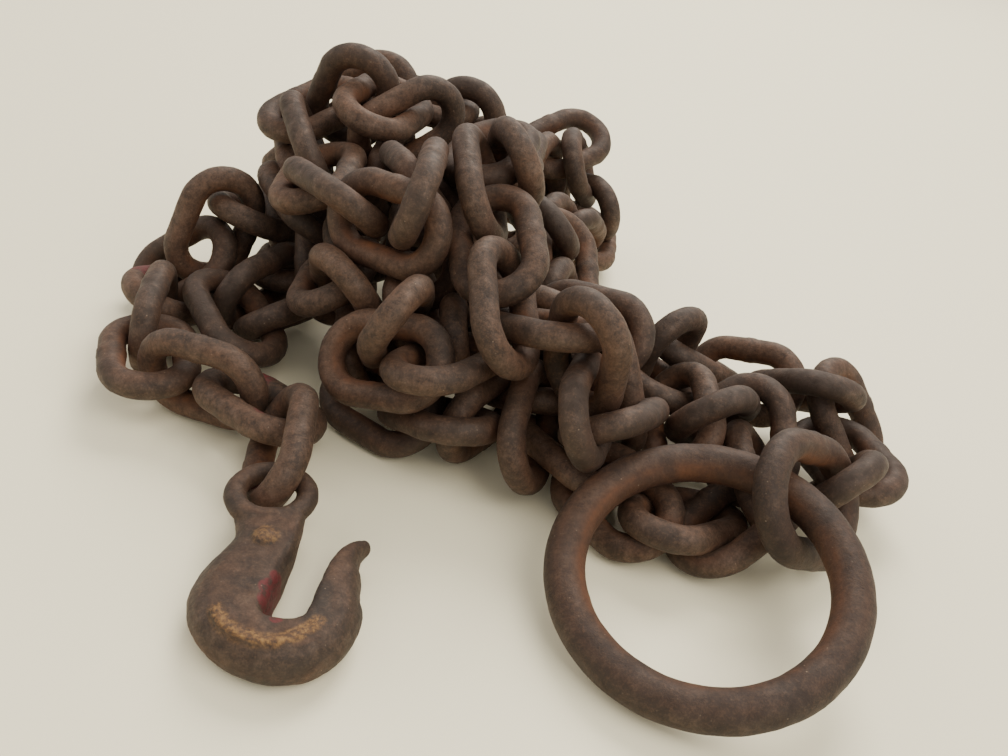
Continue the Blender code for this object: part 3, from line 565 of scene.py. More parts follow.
def seat(heap):
    total = len(heap["middle"])
    least = seating["leastSpring"]
    heap["spring"] = heap["spring"] * (least + (1 - least) * seenShares(heap))
    readMiddle = heap["middle"].copy()
    readAxes = heap["axes"].copy()
    lastShift = np.zeros((total, 3))
    lastTurn = np.zeros((total, 3))
    for step in range(seating["seatingSteps"]):
        done = step / seating["seatingSteps"]
        growth = (done - seating["untangleShare"]) / (seating["fullBarShare"] - seating["untangleShare"])
        growth = seating["startBarShare"] + (1 - seating["startBarShare"]) * min(max(growth, 0.0), 1.0)
        start, end = barsInPlace(heap)
        if step % seating["relistSteps"] == 0:
            pairs = listPairs(heap, start, end)
        host, guest, known, apart = pairs["host"], pairs["guest"], pairs["known"], pairs["apart"]
        threaded, dips = threading(heap, host[known], guest[known])
        wrong = np.zeros(len(host), bool)
        wrong[known] = threaded != pairs["partner"][known]
        untangling = done < seating["untangleShare"]
        meeting = barsThatMeet(heap, pairs, start, end, wrong, untangling, growth)
        bodies, points, direction, amount, share, deepest = meeting
        sums = (np.zeros((total, 3)), np.zeros((total, 3)), np.zeros(total))
        pushPairs(sums, heap, bodies, points, direction, amount, (share, share))
        pushOffGround(sums, heap, start)
        thick = growth * mm(linkSizes["bar"]) / 2
        withdrawDips(sums, heap, host[apart], guest[apart], dips[pairs["whereApart"]], thick)
        _, backDips = threading(heap, guest[apart], host[apart])
        withdrawDips(sums, heap, guest[apart], host[apart], backDips, thick)
        shift, turn, count = sums
        stepShare = (seating["stepGain"] / np.maximum(count, 1.0) ** seating["crowdPower"])[:, None]
        carry = seating["growingCarry"] if done < seating["fullBarShare"] else seating["grownCarry"]
        shift = shift * stepShare + carry * lastShift
        turn = turn * stepShare + carry * lastTurn
        lastShift, lastTurn = shift.copy(), turn.copy()
        strength = seating["spring"] * max(0.0, 1 - done / seating["springShare"])
        pullToReading(heap, readMiddle, readAxes, shift, turn, strength)
        if seating["fullBarShare"] < done < seating["settleShare"]:
            shift[:, 2] -= mm(seating["sink"])
        move(heap, shift, turn)
    print("seated: wrong pairs %d, deepest overlap %.3f mm" % (wrong.sum(), deepest))
    return heap


def runOf(number):
    for name, first, last in fusedRuns:
        if first <= number <= last:
            return name
    return None


def seatedPieces():
    links = chainPieces()
    pieces = links + [couplerPiece(), ringPiece(), eyePiece(), hookBodyPiece()]
    last = len(links) - 1
    coupler, ring, eye = last + 1, last + 2, last + 3
    partners = [(index, index + 1) for index in range(last)]
    partners += [(last, coupler), (coupler, ring), (eye, 0)]
    fused = []
    for index in range(last):
        if runOf(index + 1) and runOf(index + 1) == runOf(index + 2):
            fused.append((index, index + 1))
    heap = seat(makeHeap(pieces, partners, fused))
    for index, piece in enumerate(pieces):
        piece["middle"] = heap["middle"][index]
        piece["axes"] = heap["axes"][index]
    return pieces, heap


# The heap is laid as the source lays it, then moved to where the frame's ring is.
pieces, heapLaid = seatedPieces()
ringLow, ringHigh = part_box("end_ring")
ringCentre = np.array((ringLow + ringHigh) / 2)
toFrame = ringCentre - pieces[len(route) + 1]["middle"] / 1000.0
print("heap laid, moved by", toFrame.round(5))

farthest = 0.0
for number in range(1, len(route) + 1):
    if not runOf(number):
        low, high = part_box("link_%03d" % number)
        miss = np.array((low + high) / 2) - toFrame - pieces[number - 1]["middle"] / 1000.0
        farthest = max(farthest, float(np.abs(miss).max()))
print("links against the frame, largest miss in mm: %.4f" % (farthest * 1000))


# Camera: where the photograph was taken from
cameraSettings = {"pitch": 32.75, "roll": 10.5, "lens": 35.2, "sensor": 36.0, "nearest": 0.01}


def placeCamera(settings):
    pitch, roll = math.radians(settings["pitch"]), math.radians(settings["roll"])
    forward = np.array([0.0, math.cos(pitch), -math.sin(pitch)])
    level = np.array([0.0, math.sin(pitch), math.cos(pitch)])
    side = np.array([1.0, 0.0, 0.0])
    right = side * math.cos(roll) + level * math.sin(roll)
    above = level * math.cos(roll) - side * math.sin(roll)
    turn = Matrix([list(right), list(above), list(-forward)]).transposed().to_4x4()
    place = Matrix.Translation(Vector(toFrame) + Vector(readFrom) / 1000.0)
    bpy.ops.object.camera_add()
    camera = bpy.context.object
    camera.name = "photoCamera"
    camera.matrix_world = place @ turn
    camera.data.sensor_width = settings["sensor"]
    camera.data.lens = settings["lens"]
    camera.data.clip_start = settings["nearest"]
    bpy.context.scene.camera = camera


placeCamera(cameraSettings)
print("camera placed")


# Materials

def linear(code):
    values = [int(code[at:at + 2], 16) / 255.0 for at in (1, 3, 5)]
    return tuple(v / 12.92 if v <= 0.04045 else ((v + 0.055) / 1.055) ** 2.4 for v in values) + (1.0,)


def addNode(tree, kind, settings=None, sources=None, output=0):
    # Sources go into the node's inputs: other nodes' outputs, numbers or colours
    node = tree.nodes.new(kind)
    for key, value in (settings or {}).items():
        setattr(node, key, value)
    for key, source in (sources or {}).items():
        if isinstance(source, bpy.types.NodeSocket):
            tree.links.new(source, node.inputs[key])
        else:
            node.inputs[key].default_value = source
    return node.outputs[output]


# Hot-rolled and forged steel under a thin dry coat of rust: browner and more orange
# where it is sheltered, greyer and smoother where it is handled and rubbed. Patches,
# blotches, flecks, grit and pits are given as real sizes in millimetres.
rustyChain = {
    "patch": 26.0, "blotch": 4.5, "fleck": 1.6, "grit": 0.6, "pit": 1.5,
    "base": ((0.20, "#2a1c12"), (0.42, "#483222"), (0.60, "#593c28"), (0.80, "#6c492d")),
    "inner": ((0.30, "#472b1a"), (0.62, "#673c1f"), (0.88, "#7f4c22")),
    "worn": ((0.30, "#46362c"), (0.70, "#635044")),
    "crust": ((0.34, "#3c2a19"), (0.50, "#664727"), (0.66, "#8c693a")),
    "dark": "#18110d", "speck": "#b89f84", "flakes": "#5e1a1f",
    "dullRoughness": 0.78, "wornRoughness": 0.50, "wornMetallic": 0.25,
    "reliefDepth": 0.7, "reliefStrength": 0.6,
}
rustyRing = {
    **rustyChain, "patch": 34.0, "blotch": 6.0,
    "base": ((0.18, "#24170f"), (0.42, "#3b281a"), (0.62, "#49311f"), (0.85, "#5f4027")),
    "worn": ((0.30, "#382a22"), (0.70, "#524136")),
}
forgedHook = {
    **rustyChain, "patch": 18.0, "blotch": 3.6,
    "base": ((0.18, "#271c14"), (0.42, "#3f2e21"), (0.62, "#503a27"), (0.85, "#6c4e2f")),
    "worn": ((0.30, "#3d3027"), (0.70, "#5a493d")),
}
rustNoise = (  # pattern, detail, roughness, distortion
    ("patch", 3.0, 0.55, 0.6), ("blotch", 5.0, 0.65, 0.3), ("fleck", 4.0, 0.7, 0.0), ("grit", 3.0, 0.7, 0.0),
)
# What each sum gives, its operation, then earlier results or plain numbers. All but
# the subtractions are kept between 0 and 1.
rustSums = (
    # broad patches, smaller blotches, flecks, fine grit and each link's own tone
    ("mottle", "MULTIPLY_ADD", "patch", 0.7, -0.10),
    ("mottle", "SUBTRACT", "mottle", 0.28),
    ("mottle", "MULTIPLY_ADD", "blotch", 0.70, "mottle"),
    ("mottle", "SUBTRACT", "mottle", 0.45),
    ("mottle", "MULTIPLY_ADD", "fleck", 0.90, "mottle"),
    ("mottle", "SUBTRACT", "mottle", 0.40),
    ("mottle", "MULTIPLY_ADD", "grit", 0.80, "mottle"),
    ("mottle", "SUBTRACT", "mottle", 0.12),
    ("mottle", "MULTIPLY_ADD", "tone", 0.24, "mottle"),
    # sheltered inner faces keep a redder, more orange rust
    ("inner", "SUBTRACT", 1.0, "outer"),
    ("inner", "MULTIPLY", "inner", 0.85),
    ("crowded", "MULTIPLY", "shelter", 0.9),
    ("inner", "MAXIMUM", "inner", "crowded"),
    ("patchy", "MULTIPLY_ADD", "patch", 3.2, -1.05),
    ("inner", "MULTIPLY", "inner", "patchy"),
    # worn outer faces
    ("blotchy", "MULTIPLY_ADD", "blotch", 2.6, -0.80),
    ("handled", "MULTIPLY", "outer", "blotchy"),
    ("handled", "MULTIPLY", "handled", 0.80),
    ("rubbed", "MULTIPLY", "rub", 0.75),
    ("worn", "MAXIMUM", "handled", "rubbed"),
    # a few bright specks of bare metal and fresh rust, and dark pits
    ("speck", "MULTIPLY", "grit", 3.4),
    ("speck", "MULTIPLY_ADD", "pit", -5.0, "speck"),
    ("rare", "MULTIPLY_ADD", "grain", 14.0, -13.0),
    ("speck", "MULTIPLY", "speck", "rare"),
    ("speck", "MULTIPLY", "speck", 0.55),
    ("dark", "MULTIPLY_ADD", "pit", -2.6, 0.75),
    ("pitted", "MULTIPLY_ADD", "blotch", -5.0, 2.5),
    ("dark", "MULTIPLY", "dark", "pitted"),
    ("dark", "MULTIPLY", "dark", 0.5),
    # ochre crust, and what is left of old red paint
    ("crust", "MULTIPLY_ADD", "fleck", 4.0, -1.1),
    ("crust", "MULTIPLY", "crust", "ochre"),
    ("crust", "MULTIPLY", "crust", 0.9),
    ("flakes", "MULTIPLY_ADD", "fleck", 6.0, -2.1),
    ("painted", "MULTIPLY_ADD", "paint", 3.0, -0.9),
    ("flakes", "MULTIPLY", "flakes", "painted"),
    ("flakes", "MULTIPLY", "flakes", 0.8),
    # relief: scale and pits a few tenths of a millimetre deep
    ("relief", "MULTIPLY", "blotch", 0.45),
    ("relief", "MULTIPLY_ADD", "fleck", 0.45, "relief"),
    ("relief", "MULTIPLY_ADD", "grit", 0.20, "relief"),
    ("relief", "SUBTRACT", "relief", "dark"),
)


def rustSteel(name, look):
    material = bpy.data.materials.new(name)
    material.use_nodes = True
    tree = material.node_tree
    shader = tree.nodes["Principled BSDF"]
    place = addNode(tree, "ShaderNodeTexCoord", output="Object")
    found = {}
    for layer, channels in (("wear", ("rub", "outer", "tone")), ("marks", ("ochre", "paint", "shelter"))):
        laid = addNode(tree, "ShaderNodeAttribute", {"attribute_name": layer})
        split = addNode(tree, "ShaderNodeSeparateColor", sources={0: laid})
        found.update(zip(channels, split.node.outputs))
    for pattern, detail, rough, distortion in rustNoise:
        found[pattern] = addNode(tree, "ShaderNodeTexNoise", sources={
            "Vector": place, "Scale": 1000.0 / look[pattern], "Detail": detail, "Roughness": rough,
            "Distortion": distortion})
    pits = addNode(tree, "ShaderNodeTexVoronoi", sources={"Vector": place, "Scale": 1000.0 / look["pit"]})
    found["pit"] = pits
    found["grain"] = addNode(tree, "ShaderNodeSeparateColor", sources={0: pits.node.outputs["Color"]})
    for result, operation, *inputs in rustSums:
        settings = {"operation": operation, "use_clamp": operation != "SUBTRACT"}
        inputs = {at: found.get(source, source) for at, source in enumerate(inputs)}
        found[result] = addNode(tree, "ShaderNodeMath", settings, inputs)

    # One coat over the other, with a ramp of colours where a pattern drives it
    colour = None
    for coat, driver in (("base", "mottle"), ("inner", "blotch"), ("worn", "mottle"), ("speck", None),
                         ("dark", None), ("crust", "fleck"), ("flakes", None)):
        shade = look[coat]
        if driver:
            ramp = addNode(tree, "ShaderNodeValToRGB", sources={"Fac": found[driver]})
            elements = ramp.node.color_ramp.elements
            while len(elements) < len(shade):
                elements.new(0.5)
            for element, (position, code) in zip(elements, shade):
                element.position = position
                element.color = linear(code)
            shade = ramp
        else:
            shade = linear(shade)
        if colour is not None:
            coats = {0: found[coat], 6: colour, 7: shade}
            shade = addNode(tree, "ShaderNodeMix", {"data_type": "RGBA"}, coats, 2)
        colour = shade

    rough = addNode(tree, "ShaderNodeMapRange", sources={
        "Value": found["worn"], "To Min": look["dullRoughness"], "To Max": look["wornRoughness"]})
    shine = addNode(tree, "ShaderNodeMapRange", sources={
        "Value": found["worn"], "To Min": 0.0, "To Max": look["wornMetallic"]})
    bump = addNode(tree, "ShaderNodeBump", sources={
        "Strength": look["reliefStrength"], "Distance": look["reliefDepth"] / 1000.0,
        "Height": found["relief"]})
    finish = {"Base Color": colour, "Roughness": rough, "Metallic": shine, "Normal": bump}
    for socket, source in finish.items():
        tree.links.new(source, shader.inputs[socket])
    return material


chainSteel = rustSteel("hotRolledChainSteel", rustyChain)
ringSteel = rustSteel("forgedRingSteel", rustyRing)
hookSteel = rustSteel("dropForgedHookSteel", forgedHook)
print("materials made")


# Pieces

def deselectAll():
    if bpy.context.object and bpy.context.object.mode != "OBJECT":
        bpy.ops.object.mode_set(mode="OBJECT")
    bpy.ops.object.select_all(action="DESELECT")


def selectPoints(item, wanted):
    bpy.ops.object.mode_set(mode="EDIT")
    bpy.ops.mesh.select_mode(type="VERT")
    bpy.ops.mesh.select_all(action="DESELECT")
    bpy.ops.object.mode_set(mode="OBJECT")
    for vertex in item.data.vertices:
        vertex.select = wanted(vertex.co)
    bpy.ops.object.mode_set(mode="EDIT")


def joined(items):
    deselectAll()
    for item in items:
        item.select_set(True)
    bpy.context.view_layer.objects.active = items[0]
    if len(items) > 1:
        bpy.ops.object.join()
    return items[0]


def applyModifier(item, kind, **settings):
    deselectAll()
    item.select_set(True)
    bpy.context.view_layer.objects.active = item
    change = item.modifiers.new(kind.lower(), kind)
    for key, value in settings.items():
        setattr(change, key, value)
    bpy.ops.object.modifier_apply(modifier=change.name)


# One link: a ring of round bar, cut in the middle and drawn out, with the low
# swelling of its weld on one side.
linkLook = {
    "steps": 64, "sides": 20, "straightCuts": 6, "barShare": 0.94,
    "weldLength": 0.0045, "weldRise": 1.055, "uneven": 0.0006, "middleWidth": 0.00001,
}


def barLink(name, sizes, look):
    # The bar is a little thinner than the solid's, but its inner side stays, where
    # links bear on each other.
    crown = (sizes["insideWidth"] + sizes["bar"]) / 2
    reach = (sizes["insideLength"] + sizes["bar"]) / 2 - crown
    radius = look["barShare"] * sizes["bar"] / 2
    crown -= sizes["bar"] / 2 - radius
    deselectAll()
    bpy.ops.mesh.primitive_torus_add(major_radius=crown, minor_radius=radius,
                                     major_segments=look["steps"], minor_segments=look["sides"])
    item = bpy.context.object
    item.name = name
    for side in (1, -1):
        selectPoints(item, lambda point: point.x * side > look["middleWidth"])
        bpy.ops.transform.translate(value=(side * reach, 0, 0))
    cuts = look["straightCuts"]
    for cut in [place for place in range(-cuts, cuts + 1) if place]:
        bpy.ops.mesh.select_all(action="SELECT")
        bpy.ops.mesh.bisect(plane_co=(reach * cut / (cuts + 0.5), 0, 0), plane_no=(1, 0, 0))
    half = look["weldLength"] / 2
    rise = look["weldRise"]
    selectPoints(item, lambda point: point.y > 0 and abs(point.x) < half)
    bpy.ops.transform.resize(value=(1, rise, rise), center_override=(0, crown, 0))
    deselectAll()
    return item


def pointsOf(mesh):
    points = np.zeros(len(mesh.vertices) * 3)
    mesh.vertices.foreach_get("co", points)
    return points.reshape(-1, 3)


def smoothStep(low, high, value):
    share = ((value - low) / (high - low)).clip(0, 1)
    return share * share * (3 - 2 * share)


def offRun(points, first, second):
    # Distance from each point to the straight run between two places
    run = second - first
    share = ((points - first) @ run / (run @ run)).clip(0, 1)
    return np.linalg.norm(points - first - share[:, None] * run, axis=1)


# Where the steel is rubbed, worn and sheltered. Gaps are in millimetres, and the
# rest are shares of the bar's radius, of a link's reach or of the full effect.
wearLook = {
    "rubbedGap": (1.6, 0.2), "rubbedMost": 0.8, "bearingSide": (0.55, 1.0), "bearingMost": 0.6,
    "outerSide": (-0.2, 0.9), "faceSide": (0.6, 1.0), "faceMost": 0.8, "crownFrom": 0.5, "crownTo": 0.4,
    "farGap": 12.0, "crowdGap": 9.0, "openGap": (-0.4, 1.1), "paintCore": 0.4,
    "texture": 0.007, "textureDepth": 3,
}
heapStart, heapEnd = barsInPlace(heapLaid)


def clearance(points, body):
    # The gap to the nearest bar of other pieces, and how crowded the place is
    far, crowdGap = wearLook["farGap"], wearLook["crowdGap"]
    low, high = points.min(0) - far, points.max(0) + far
    inside = ((np.maximum(heapStart, heapEnd) > low) & (np.minimum(heapStart, heapEnd) < high)).all(1)
    nearest = np.full(len(points), far)
    crowd = np.zeros(len(points))
    for bar in np.nonzero(inside & ~np.isin(heapLaid["body"], body))[0]:
        gap = offRun(points, heapStart[bar], heapEnd[bar]) - heapLaid["radius"][bar]
        nearest = np.minimum(nearest, gap)
        crowd = np.maximum(crowd, (1 - gap.clip(0, crowdGap) / crowdGap) ** 2)
    return nearest, crowd


def paintShare(points, spots):
    # Old paint: full at the core of each spot, none past its size
    paint = np.zeros(len(points))
    for place, size in spots:
        away = np.linalg.norm(points - np.array(place), axis=1)
        paint = np.maximum(paint, smoothStep(size, size * wearLook["paintCore"], away))
    return paint


def colourPoints(mesh, name, channels):
    layer = mesh.color_attributes.new(name, "FLOAT_COLOR", "POINT")
    layer.data.foreach_set("color", np.stack([*channels, np.ones(len(mesh.vertices))], 1).ravel())


unevenSteel = bpy.data.textures.new("unevenSteel", "CLOUDS")
unevenSteel.noise_scale = wearLook["texture"]
unevenSteel.noise_depth = wearLook["textureDepth"]


def placedCopy(form, name, index, tone, spots=()):
    piece = pieces[index]
    mesh = form.data.copy()
    mesh.name = name
    local = pointsOf(mesh)
    inHeap = local * 1000.0 @ piece["axes"].T + piece["middle"]
    radius = piece["radius"] / 1000.0
    reach, crown = (size / 1000.0 for size in piece["opening"])

    # How far to the outside of the bar a point is, from -1 to 1
    flat = local[:, :2].copy()
    flat[:, 0] -= flat[:, 0].clip(-reach, reach)
    outward = ((np.linalg.norm(flat, axis=1) - crown) / radius).clip(-1, 1)
    crownFrom, crownTo = wearLook["crownFrom"] * reach, reach + wearLook["crownTo"] * crown
    atCrown = smoothStep(crownFrom, crownTo, np.abs(local[:, 0]))
    nearest, crowd = clearance(inHeap, index)
    rub = np.maximum(smoothStep(*wearLook["rubbedGap"], nearest) * wearLook["rubbedMost"],
                     smoothStep(*wearLook["bearingSide"], -outward) * atCrown * wearLook["bearingMost"])
    face = smoothStep(*wearLook["faceSide"], np.abs(local[:, 2]) / radius) * wearLook["faceMost"]
    outer = np.maximum(smoothStep(*wearLook["outerSide"], outward), face)
    shelter = crowd * smoothStep(*wearLook["openGap"], nearest)
    colourPoints(mesh, "wear", (rub, outer, np.full(len(local), tone)))
    colourPoints(mesh, "marks", (np.zeros(len(local)), paintShare(inHeap, spots), shelter))
    mesh.vertices.foreach_set("co", (inHeap / 1000.0 + toFrame).ravel())
    mesh.update()
    item = bpy.data.objects.new(name, mesh)
    bpy.context.scene.collection.objects.link(item)
    return item


def finishPiece(item, material, node, uneven):
    applyModifier(item, "DISPLACE", texture=unevenSteel, strength=uneven, texture_coords="LOCAL")
    item.data.shade_smooth()
    item.data.materials.clear()
    item.data.materials.append(material)
    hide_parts(node)
    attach(item, "root")


# Old red paint on links near the hook: link, how far along it and across it, size
paintSpots = (
    (1, -14.0, 9.0, 7.0), (2, 12.0, -12.0, 9.0), (2, -10.0, 10.0, 7.0), (5, 8.0, -12.0, 9.0),
    (6, -8.0, 12.0, 10.0),
)
paintPlaces = {}
for number, along, across, size in paintSpots:
    piece = pieces[number - 1]
    place = piece["middle"] + piece["axes"][:, 0] * along + piece["axes"][:, 1] * across
    paintPlaces.setdefault(number - 1, []).append((place, size))

tones = np.random.default_rng(7).random(len(route))
linkForm = barLink("linkForm", linkSizes, linkLook)
groups = {}
for index, tone in enumerate(tones):
    link = placedCopy(linkForm, "chainLink%03d" % (index + 1), index, tone, paintPlaces.get(index, ()))
    groups.setdefault(runOf(index + 1) or "link_%03d" % (index + 1), []).append(link)
for node, members in groups.items():
    links = joined(members)
    if len(members) > 1:
        links.name = "chain" + "".join(word.capitalize() for word in node.split("_"))
    finishPiece(links, chainSteel, node, linkLook["uneven"])
bpy.data.objects.remove(linkForm)
print("links made:", len(route))


# The connecting link has the chain's form in its own sizes. The ring is one thick
# round bar, bent round and closed.
couplerLook = {"tone": 0.55, "uneven": 0.0007}
ringLook = {"steps": 160, "sides": 32, "barShare": 0.95, "tone": 0.45, "uneven": 0.0005}

couplerForm = barLink("couplerForm", couplerSizes, linkLook)
coupler = placedCopy(couplerForm, "connectingLink", len(route), couplerLook["tone"])
finishPiece(coupler, ringSteel, "connecting_link", couplerLook["uneven"])
deselectAll()
bpy.ops.mesh.primitive_torus_add(
    major_radius=(ringSizes["outside"] - ringSizes["bar"]) / 2, major_segments=ringLook["steps"],
    minor_radius=ringLook["barShare"] * ringSizes["bar"] / 2, minor_segments=ringLook["sides"])
ringForm = bpy.context.object
ring = placedCopy(ringForm, "roundRing", len(route) + 1, ringLook["tone"])
finishPiece(ring, ringSteel, "end_ring", ringLook["uneven"])
for form in (couplerForm, ringForm):
    bpy.data.objects.remove(form)
print("ring and connecting link made")


# The grab hook: drop-forged, flat on both faces with a round belly outside, an
# eye that stands up to the first link, and a bill that turns out at its tip.
# Places are in millimetres from the middle of the eye.
hookLook = {
    # from the throat side to the outside: shares of the width, and of the thickness
    # that is lost there at each face
    "profile": (
        (0.0, 0.34), (0.015, 0.20), (0.05, 0.09), (0.11, 0.02), (0.20, 0.0), (0.36, 0.0),
        (0.54, 0.01), (0.72, 0.06), (0.86, 0.17), (0.96, 0.33), (1.0, 0.5),
    ),
    # as the rails above, down to the blunt tip of the bill
    "rows": (
        (12.3, -8.3, -9.0, -10.0, 0.68, 1.09), (12.9, -17.5, -5.3, -18.0, 0.36, 1.07),
        (12.4, -23.5, -7.6, -23.8, 0.12, 1.02), (11.9, -29.7, -10.2, -29.5, 0.0, 1.0),
        (11.5, -36.2, -11.2, -36.5, 0.0, 1.0), (11.2, -41.4, -9.9, -44.2, 0.0, 1.0),
        (11.2, -44.7, -6.2, -51.0, 0.0, 1.0), (12.6, -45.6, 1.1, -57.2, 0.0, 1.0),
        (15.6, -46.0, 11.1, -60.7, 0.0, 1.0), (18.2, -45.6, 20.2, -60.5, 0.0, 1.0),
        (20.0, -44.9, 28.6, -56.2, 0.0, 1.0), (21.2, -43.6, 34.2, -48.6, 0.0, 1.0),
        (21.6, -40.4, 36.2, -37.2, 0.0, 1.0), (22.1, -34.6, 34.1, -30.0, 0.0, 1.0),
        (22.6, -26.6, 33.0, -24.3, 0.03, 0.97), (23.3, -20.0, 31.3, -19.6, 0.09, 0.92),
        (25.0, -15.1, 30.8, -15.5, 0.17, 0.86), (27.1, -11.6, 31.4, -12.2, 0.25, 0.79),
        (28.7, -9.4, 32.4, -10.0, 0.34, 0.70),
    ),
    "steps": 4, "voxel": 0.0005, "soften": (0.5, 5), "uneven": 0.0008, "swellingSteps": (32, 16),
    "eye": (0.0, -1.0, 14.6), "eyeRim": 0.0066, "eyeSteps": (96, 24),
    # the bare band and oval that the forging die left standing, and the tip
    "band": (
        (-0.7, -48.2), (2.6, -52.3), (7.3, -54.7), (12.2, -55.5),
        (17.4, -55.0), (21.6, -52.6), (24.3, -49.3), (26.0, -46.6),
    ),
    "bandSize": (3.4, 2.4), "bandSteps": 3, "bandSides": 12, "bandSunk": 0.9,
    "oval": (4.1, -20.1, 16.48), "ovalSize": (4.0, 3.4, 1.5),
    "tip": (30.4, -9.6, 8.0), "tipSize": (2.1, 2.1, 2.9),
    # what lies on the steel: rests of paint, ochre in the raised parts, worn faces
    "paint": (((11.5, -33.0), 3.4), ((10.5, -37.5), 4.2), ((11.0, -41.5), 3.6), ((15.5, -48.0), 2.6)),
    "bandOchre": (2.6, 1.2), "ovalOchre": (4.6, 3.0), "ovalMost": 0.6, "ochreUp": (0.2, 0.7),
    "wornFace": 0.55, "wornEdge": 0.35, "edgeDown": (0.97, 0.80), "edgeUp": (0.0, 0.4),
    "tone": 0.45, "shelter": 0.8,
}


def smoothRows(rows, steps):
    # Rows between the given ones, on a curve that runs through them
    rows = np.array(rows)
    slope = (np.concatenate([rows[1:], rows[-1:]]) - np.concatenate([rows[:1], rows[:-1]])) / 2
    found = []
    for index in range(len(rows) - 1):
        for t in (step / steps for step in range(steps)):
            here = rows[index] * (2 * t ** 3 - 3 * t ** 2 + 1) + slope[index] * (t ** 3 - 2 * t ** 2 + t)
            after = rows[index + 1] * (3 * t ** 2 - 2 * t ** 3) + slope[index + 1] * (t ** 3 - t ** 2)
            found.append(here + after)
    return np.array(found + [rows[-1]])


def drawnOut(name, sections):
    # A disc set to the first section, then drawn out from one section to the next
    deselectAll()
    bpy.ops.mesh.primitive_circle_add(vertices=len(sections[0]), radius=0.01, fill_type="NGON")
    item = bpy.context.object
    item.name = name
    bpy.ops.object.mode_set(mode="EDIT")
    bpy.ops.mesh.select_mode(type="FACE")
    bpy.ops.mesh.select_all(action="SELECT")
    for number, section in enumerate(sections):
        if number:
            bpy.ops.mesh.extrude_region_move()
        shell = bmesh.from_edit_mesh(item.data)
        end = [face for face in shell.faces if face.select][0]
        for vertex, place in zip(end.verts, section):
            vertex.co = Vector(place)
        bmesh.update_edit_mesh(item.data)
    bpy.ops.mesh.select_all(action="SELECT")
    bpy.ops.mesh.normals_make_consistent(inside=False)
    deselectAll()
    return item


def hookPlace(x, y, z):
    eyeX, eyeY = np.array(hookSizes["eyeMiddle"]) * spread
    return Vector(((eyeX + x) / 1000.0, (eyeY + y) / 1000.0, z / 1000.0)) + Vector(toFrame)


def hookSection(row, look):
    inner, outer, (low, high) = row[:2], row[2:4], row[4:]
    thick = mm(hookSizes["thickness"])
    profile = [(share, low + (high - low) * lost) for share, lost in look["profile"]]
    profile += [(share, high - (high - low) * lost) for share, lost in look["profile"][-2::-1]]
    return [hookPlace(*(inner + share * (outer - inner)), z * thick) for share, z in profile]


def swelling(size, place):
    deselectAll()
    around, rings = hookLook["swellingSteps"]
    bpy.ops.mesh.primitive_uv_sphere_add(segments=around, ring_count=rings, radius=0.001)
    item = bpy.context.object
    item.scale = size
    bpy.ops.object.transform_apply(location=False, rotation=False, scale=True)
    item.data.transform(Matrix.Translation(hookPlace(*place)))
    return item


def grabHook(look):
    body = drawnOut("hookBody", [hookSection(row, look) for row in smoothRows(look["rows"], look["steps"])])
    width, height = (size / 2000.0 for size in look["bandSize"])
    places = smoothRows(look["band"], look["bandSteps"])
    along = np.gradient(places, axis=0)
    along /= np.linalg.norm(along, axis=1)[:, None]
    turns = np.linspace(0, 2 * math.pi, look["bandSides"], endpoint=False)
    sections = []
    for (x, y), (runX, runY) in zip(places, along):
        middle = hookPlace(x, y, mm(hookSizes["thickness"]) - look["bandSunk"])
        ring = [(math.cos(turn) * width, math.sin(turn) * height) for turn in turns]
        sections.append([middle + Vector((-runY * across, runX * across, rise)) for across, rise in ring])
    band = drawnOut("hookBand", sections)
    oval = swelling(look["ovalSize"], look["oval"])
    tip = swelling(look["tipSize"], look["tip"])
    deselectAll()
    hole, rim = hookSizes["eyeHole"], look["eyeRim"]
    around, across = look["eyeSteps"]
    bpy.ops.mesh.primitive_torus_add(major_radius=(hole + rim) / 2, minor_radius=rim / 2,
                                     major_segments=around, minor_segments=across)
    eye = bpy.context.object
    eye.data.transform(Matrix.Translation(hookPlace(*look["eye"])))
    body = joined([body, band, oval, tip, eye])
    applyModifier(body, "REMESH", mode="VOXEL", voxel_size=look["voxel"])
    share, rounds = look["soften"]
    applyModifier(body, "SMOOTH", factor=share, iterations=rounds)
    body.name = "grabHookForged"
    return body


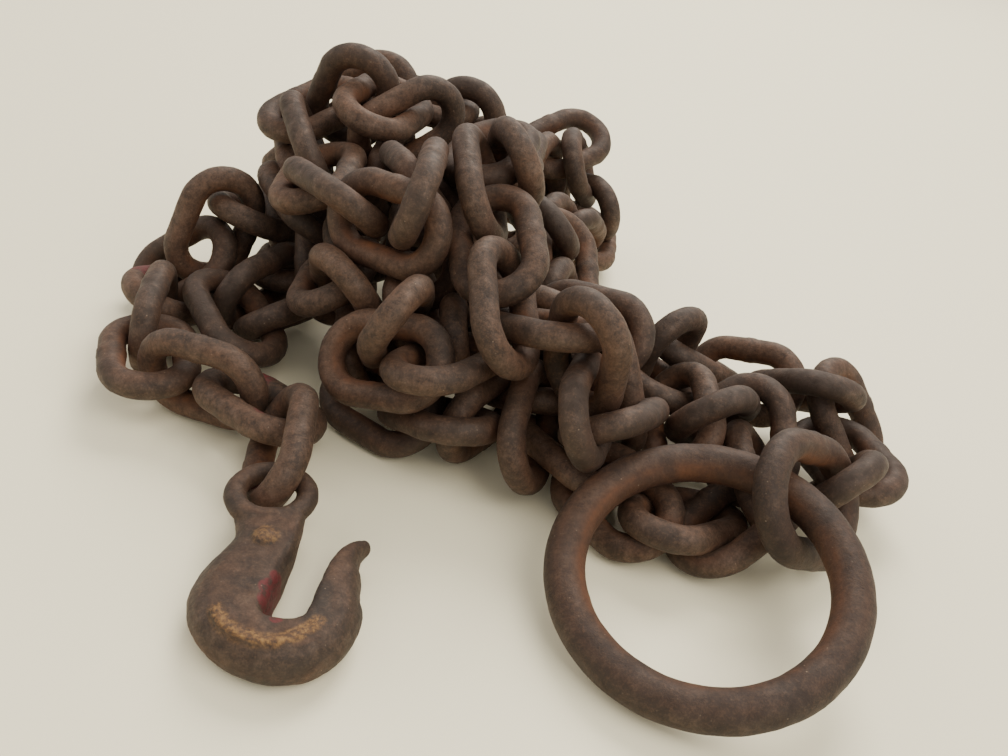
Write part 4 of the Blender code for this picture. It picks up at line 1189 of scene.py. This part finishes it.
def markHook(item, look):
    mesh = item.data
    points = pointsOf(mesh)
    normals = np.zeros(len(points) * 3)
    mesh.vertex_normals.foreach_get("vector", normals)
    up = normals.reshape(-1, 3)[:, 2]
    eyeIndex = len(route) + 2
    nearest, crowd = clearance((points - toFrame) * 1000.0, (eyeIndex, eyeIndex + 1))
    plan = (points - np.array(hookPlace(0, 0, 0)))[:, :2] * 1000.0
    fromOval = np.linalg.norm(plan - np.array(look["oval"][:2]), axis=1)
    ochre = look["ovalMost"] * smoothStep(*look["ovalOchre"], fromOval)
    band = np.array(look["band"])
    for first, second in zip(band[:-1], band[1:]):
        ochre = np.maximum(ochre, smoothStep(*look["bandOchre"], offRun(plan, first, second)))
    ochre *= smoothStep(*look["ochreUp"], up)
    edge = smoothStep(*look["edgeDown"], np.abs(up)) * smoothStep(*look["edgeUp"], up)
    rub = smoothStep(*wearLook["rubbedGap"], nearest) * wearLook["rubbedMost"]
    outer = look["wornFace"] + look["wornEdge"] * edge
    colourPoints(mesh, "wear", (rub, outer, np.full(len(points), look["tone"])))
    colourPoints(mesh, "marks", (ochre, paintShare(plan, look["paint"]), crowd * look["shelter"]))


hook = grabHook(hookLook)
markHook(hook, hookLook)
finishPiece(hook, hookSteel, "grab_hook", hookLook["uneven"])
print("hook made, faces:", len(hook.data.polygons))


# Floor and light: a plain pale floor under soft light from above and behind
floorLook = {"size": 6.0, "colour": "#fbf2d3", "roughness": 0.55}
lights = (  # name, place, size, watts, colour
    ("windowLight", (0.25, 1.25, 1.35), 1.0, 35.0, "#fff9ee"),
    ("roomLight", (1.0, -0.8, 1.6), 1.5, 29.0, "#fffaee"),
    ("sideLight", (-1.4, 0.1, 1.0), 0.9, 5.0, "#fff6ea"),
)
worldLook = {"colour": "#f3f1ec", "strength": 0.9, "aim": (0.0, 0.0, 0.03)}


def paleFloor(look):
    deselectAll()
    bpy.ops.mesh.primitive_plane_add(size=look["size"])
    floor = bpy.context.object
    floor.name = "paleFloor"
    material = bpy.data.materials.new("paleLacquer")
    material.use_nodes = True
    shader = material.node_tree.nodes["Principled BSDF"]
    shader.inputs["Base Color"].default_value = linear(look["colour"])
    shader.inputs["Roughness"].default_value = look["roughness"]
    floor.data.materials.append(material)


def softLight(name, place, size, power, colour):
    bpy.ops.object.light_add(type="AREA", location=place)
    lamp = bpy.context.object
    lamp.name = name
    lamp.data.size = size
    lamp.data.energy = power
    lamp.data.color = linear(colour)[:3]
    aim = Vector(worldLook["aim"]) - Vector(place)
    lamp.rotation_euler = aim.to_track_quat("-Z", "Y").to_euler()


paleFloor(floorLook)
for lamp in lights:
    softLight(*lamp)
world = bpy.data.worlds.new("studio")
world.use_nodes = True
background = world.node_tree.nodes["Background"]
background.inputs["Color"].default_value = linear(worldLook["colour"])
background.inputs["Strength"].default_value = worldLook["strength"]
bpy.context.scene.world = world
print("floor and light placed")
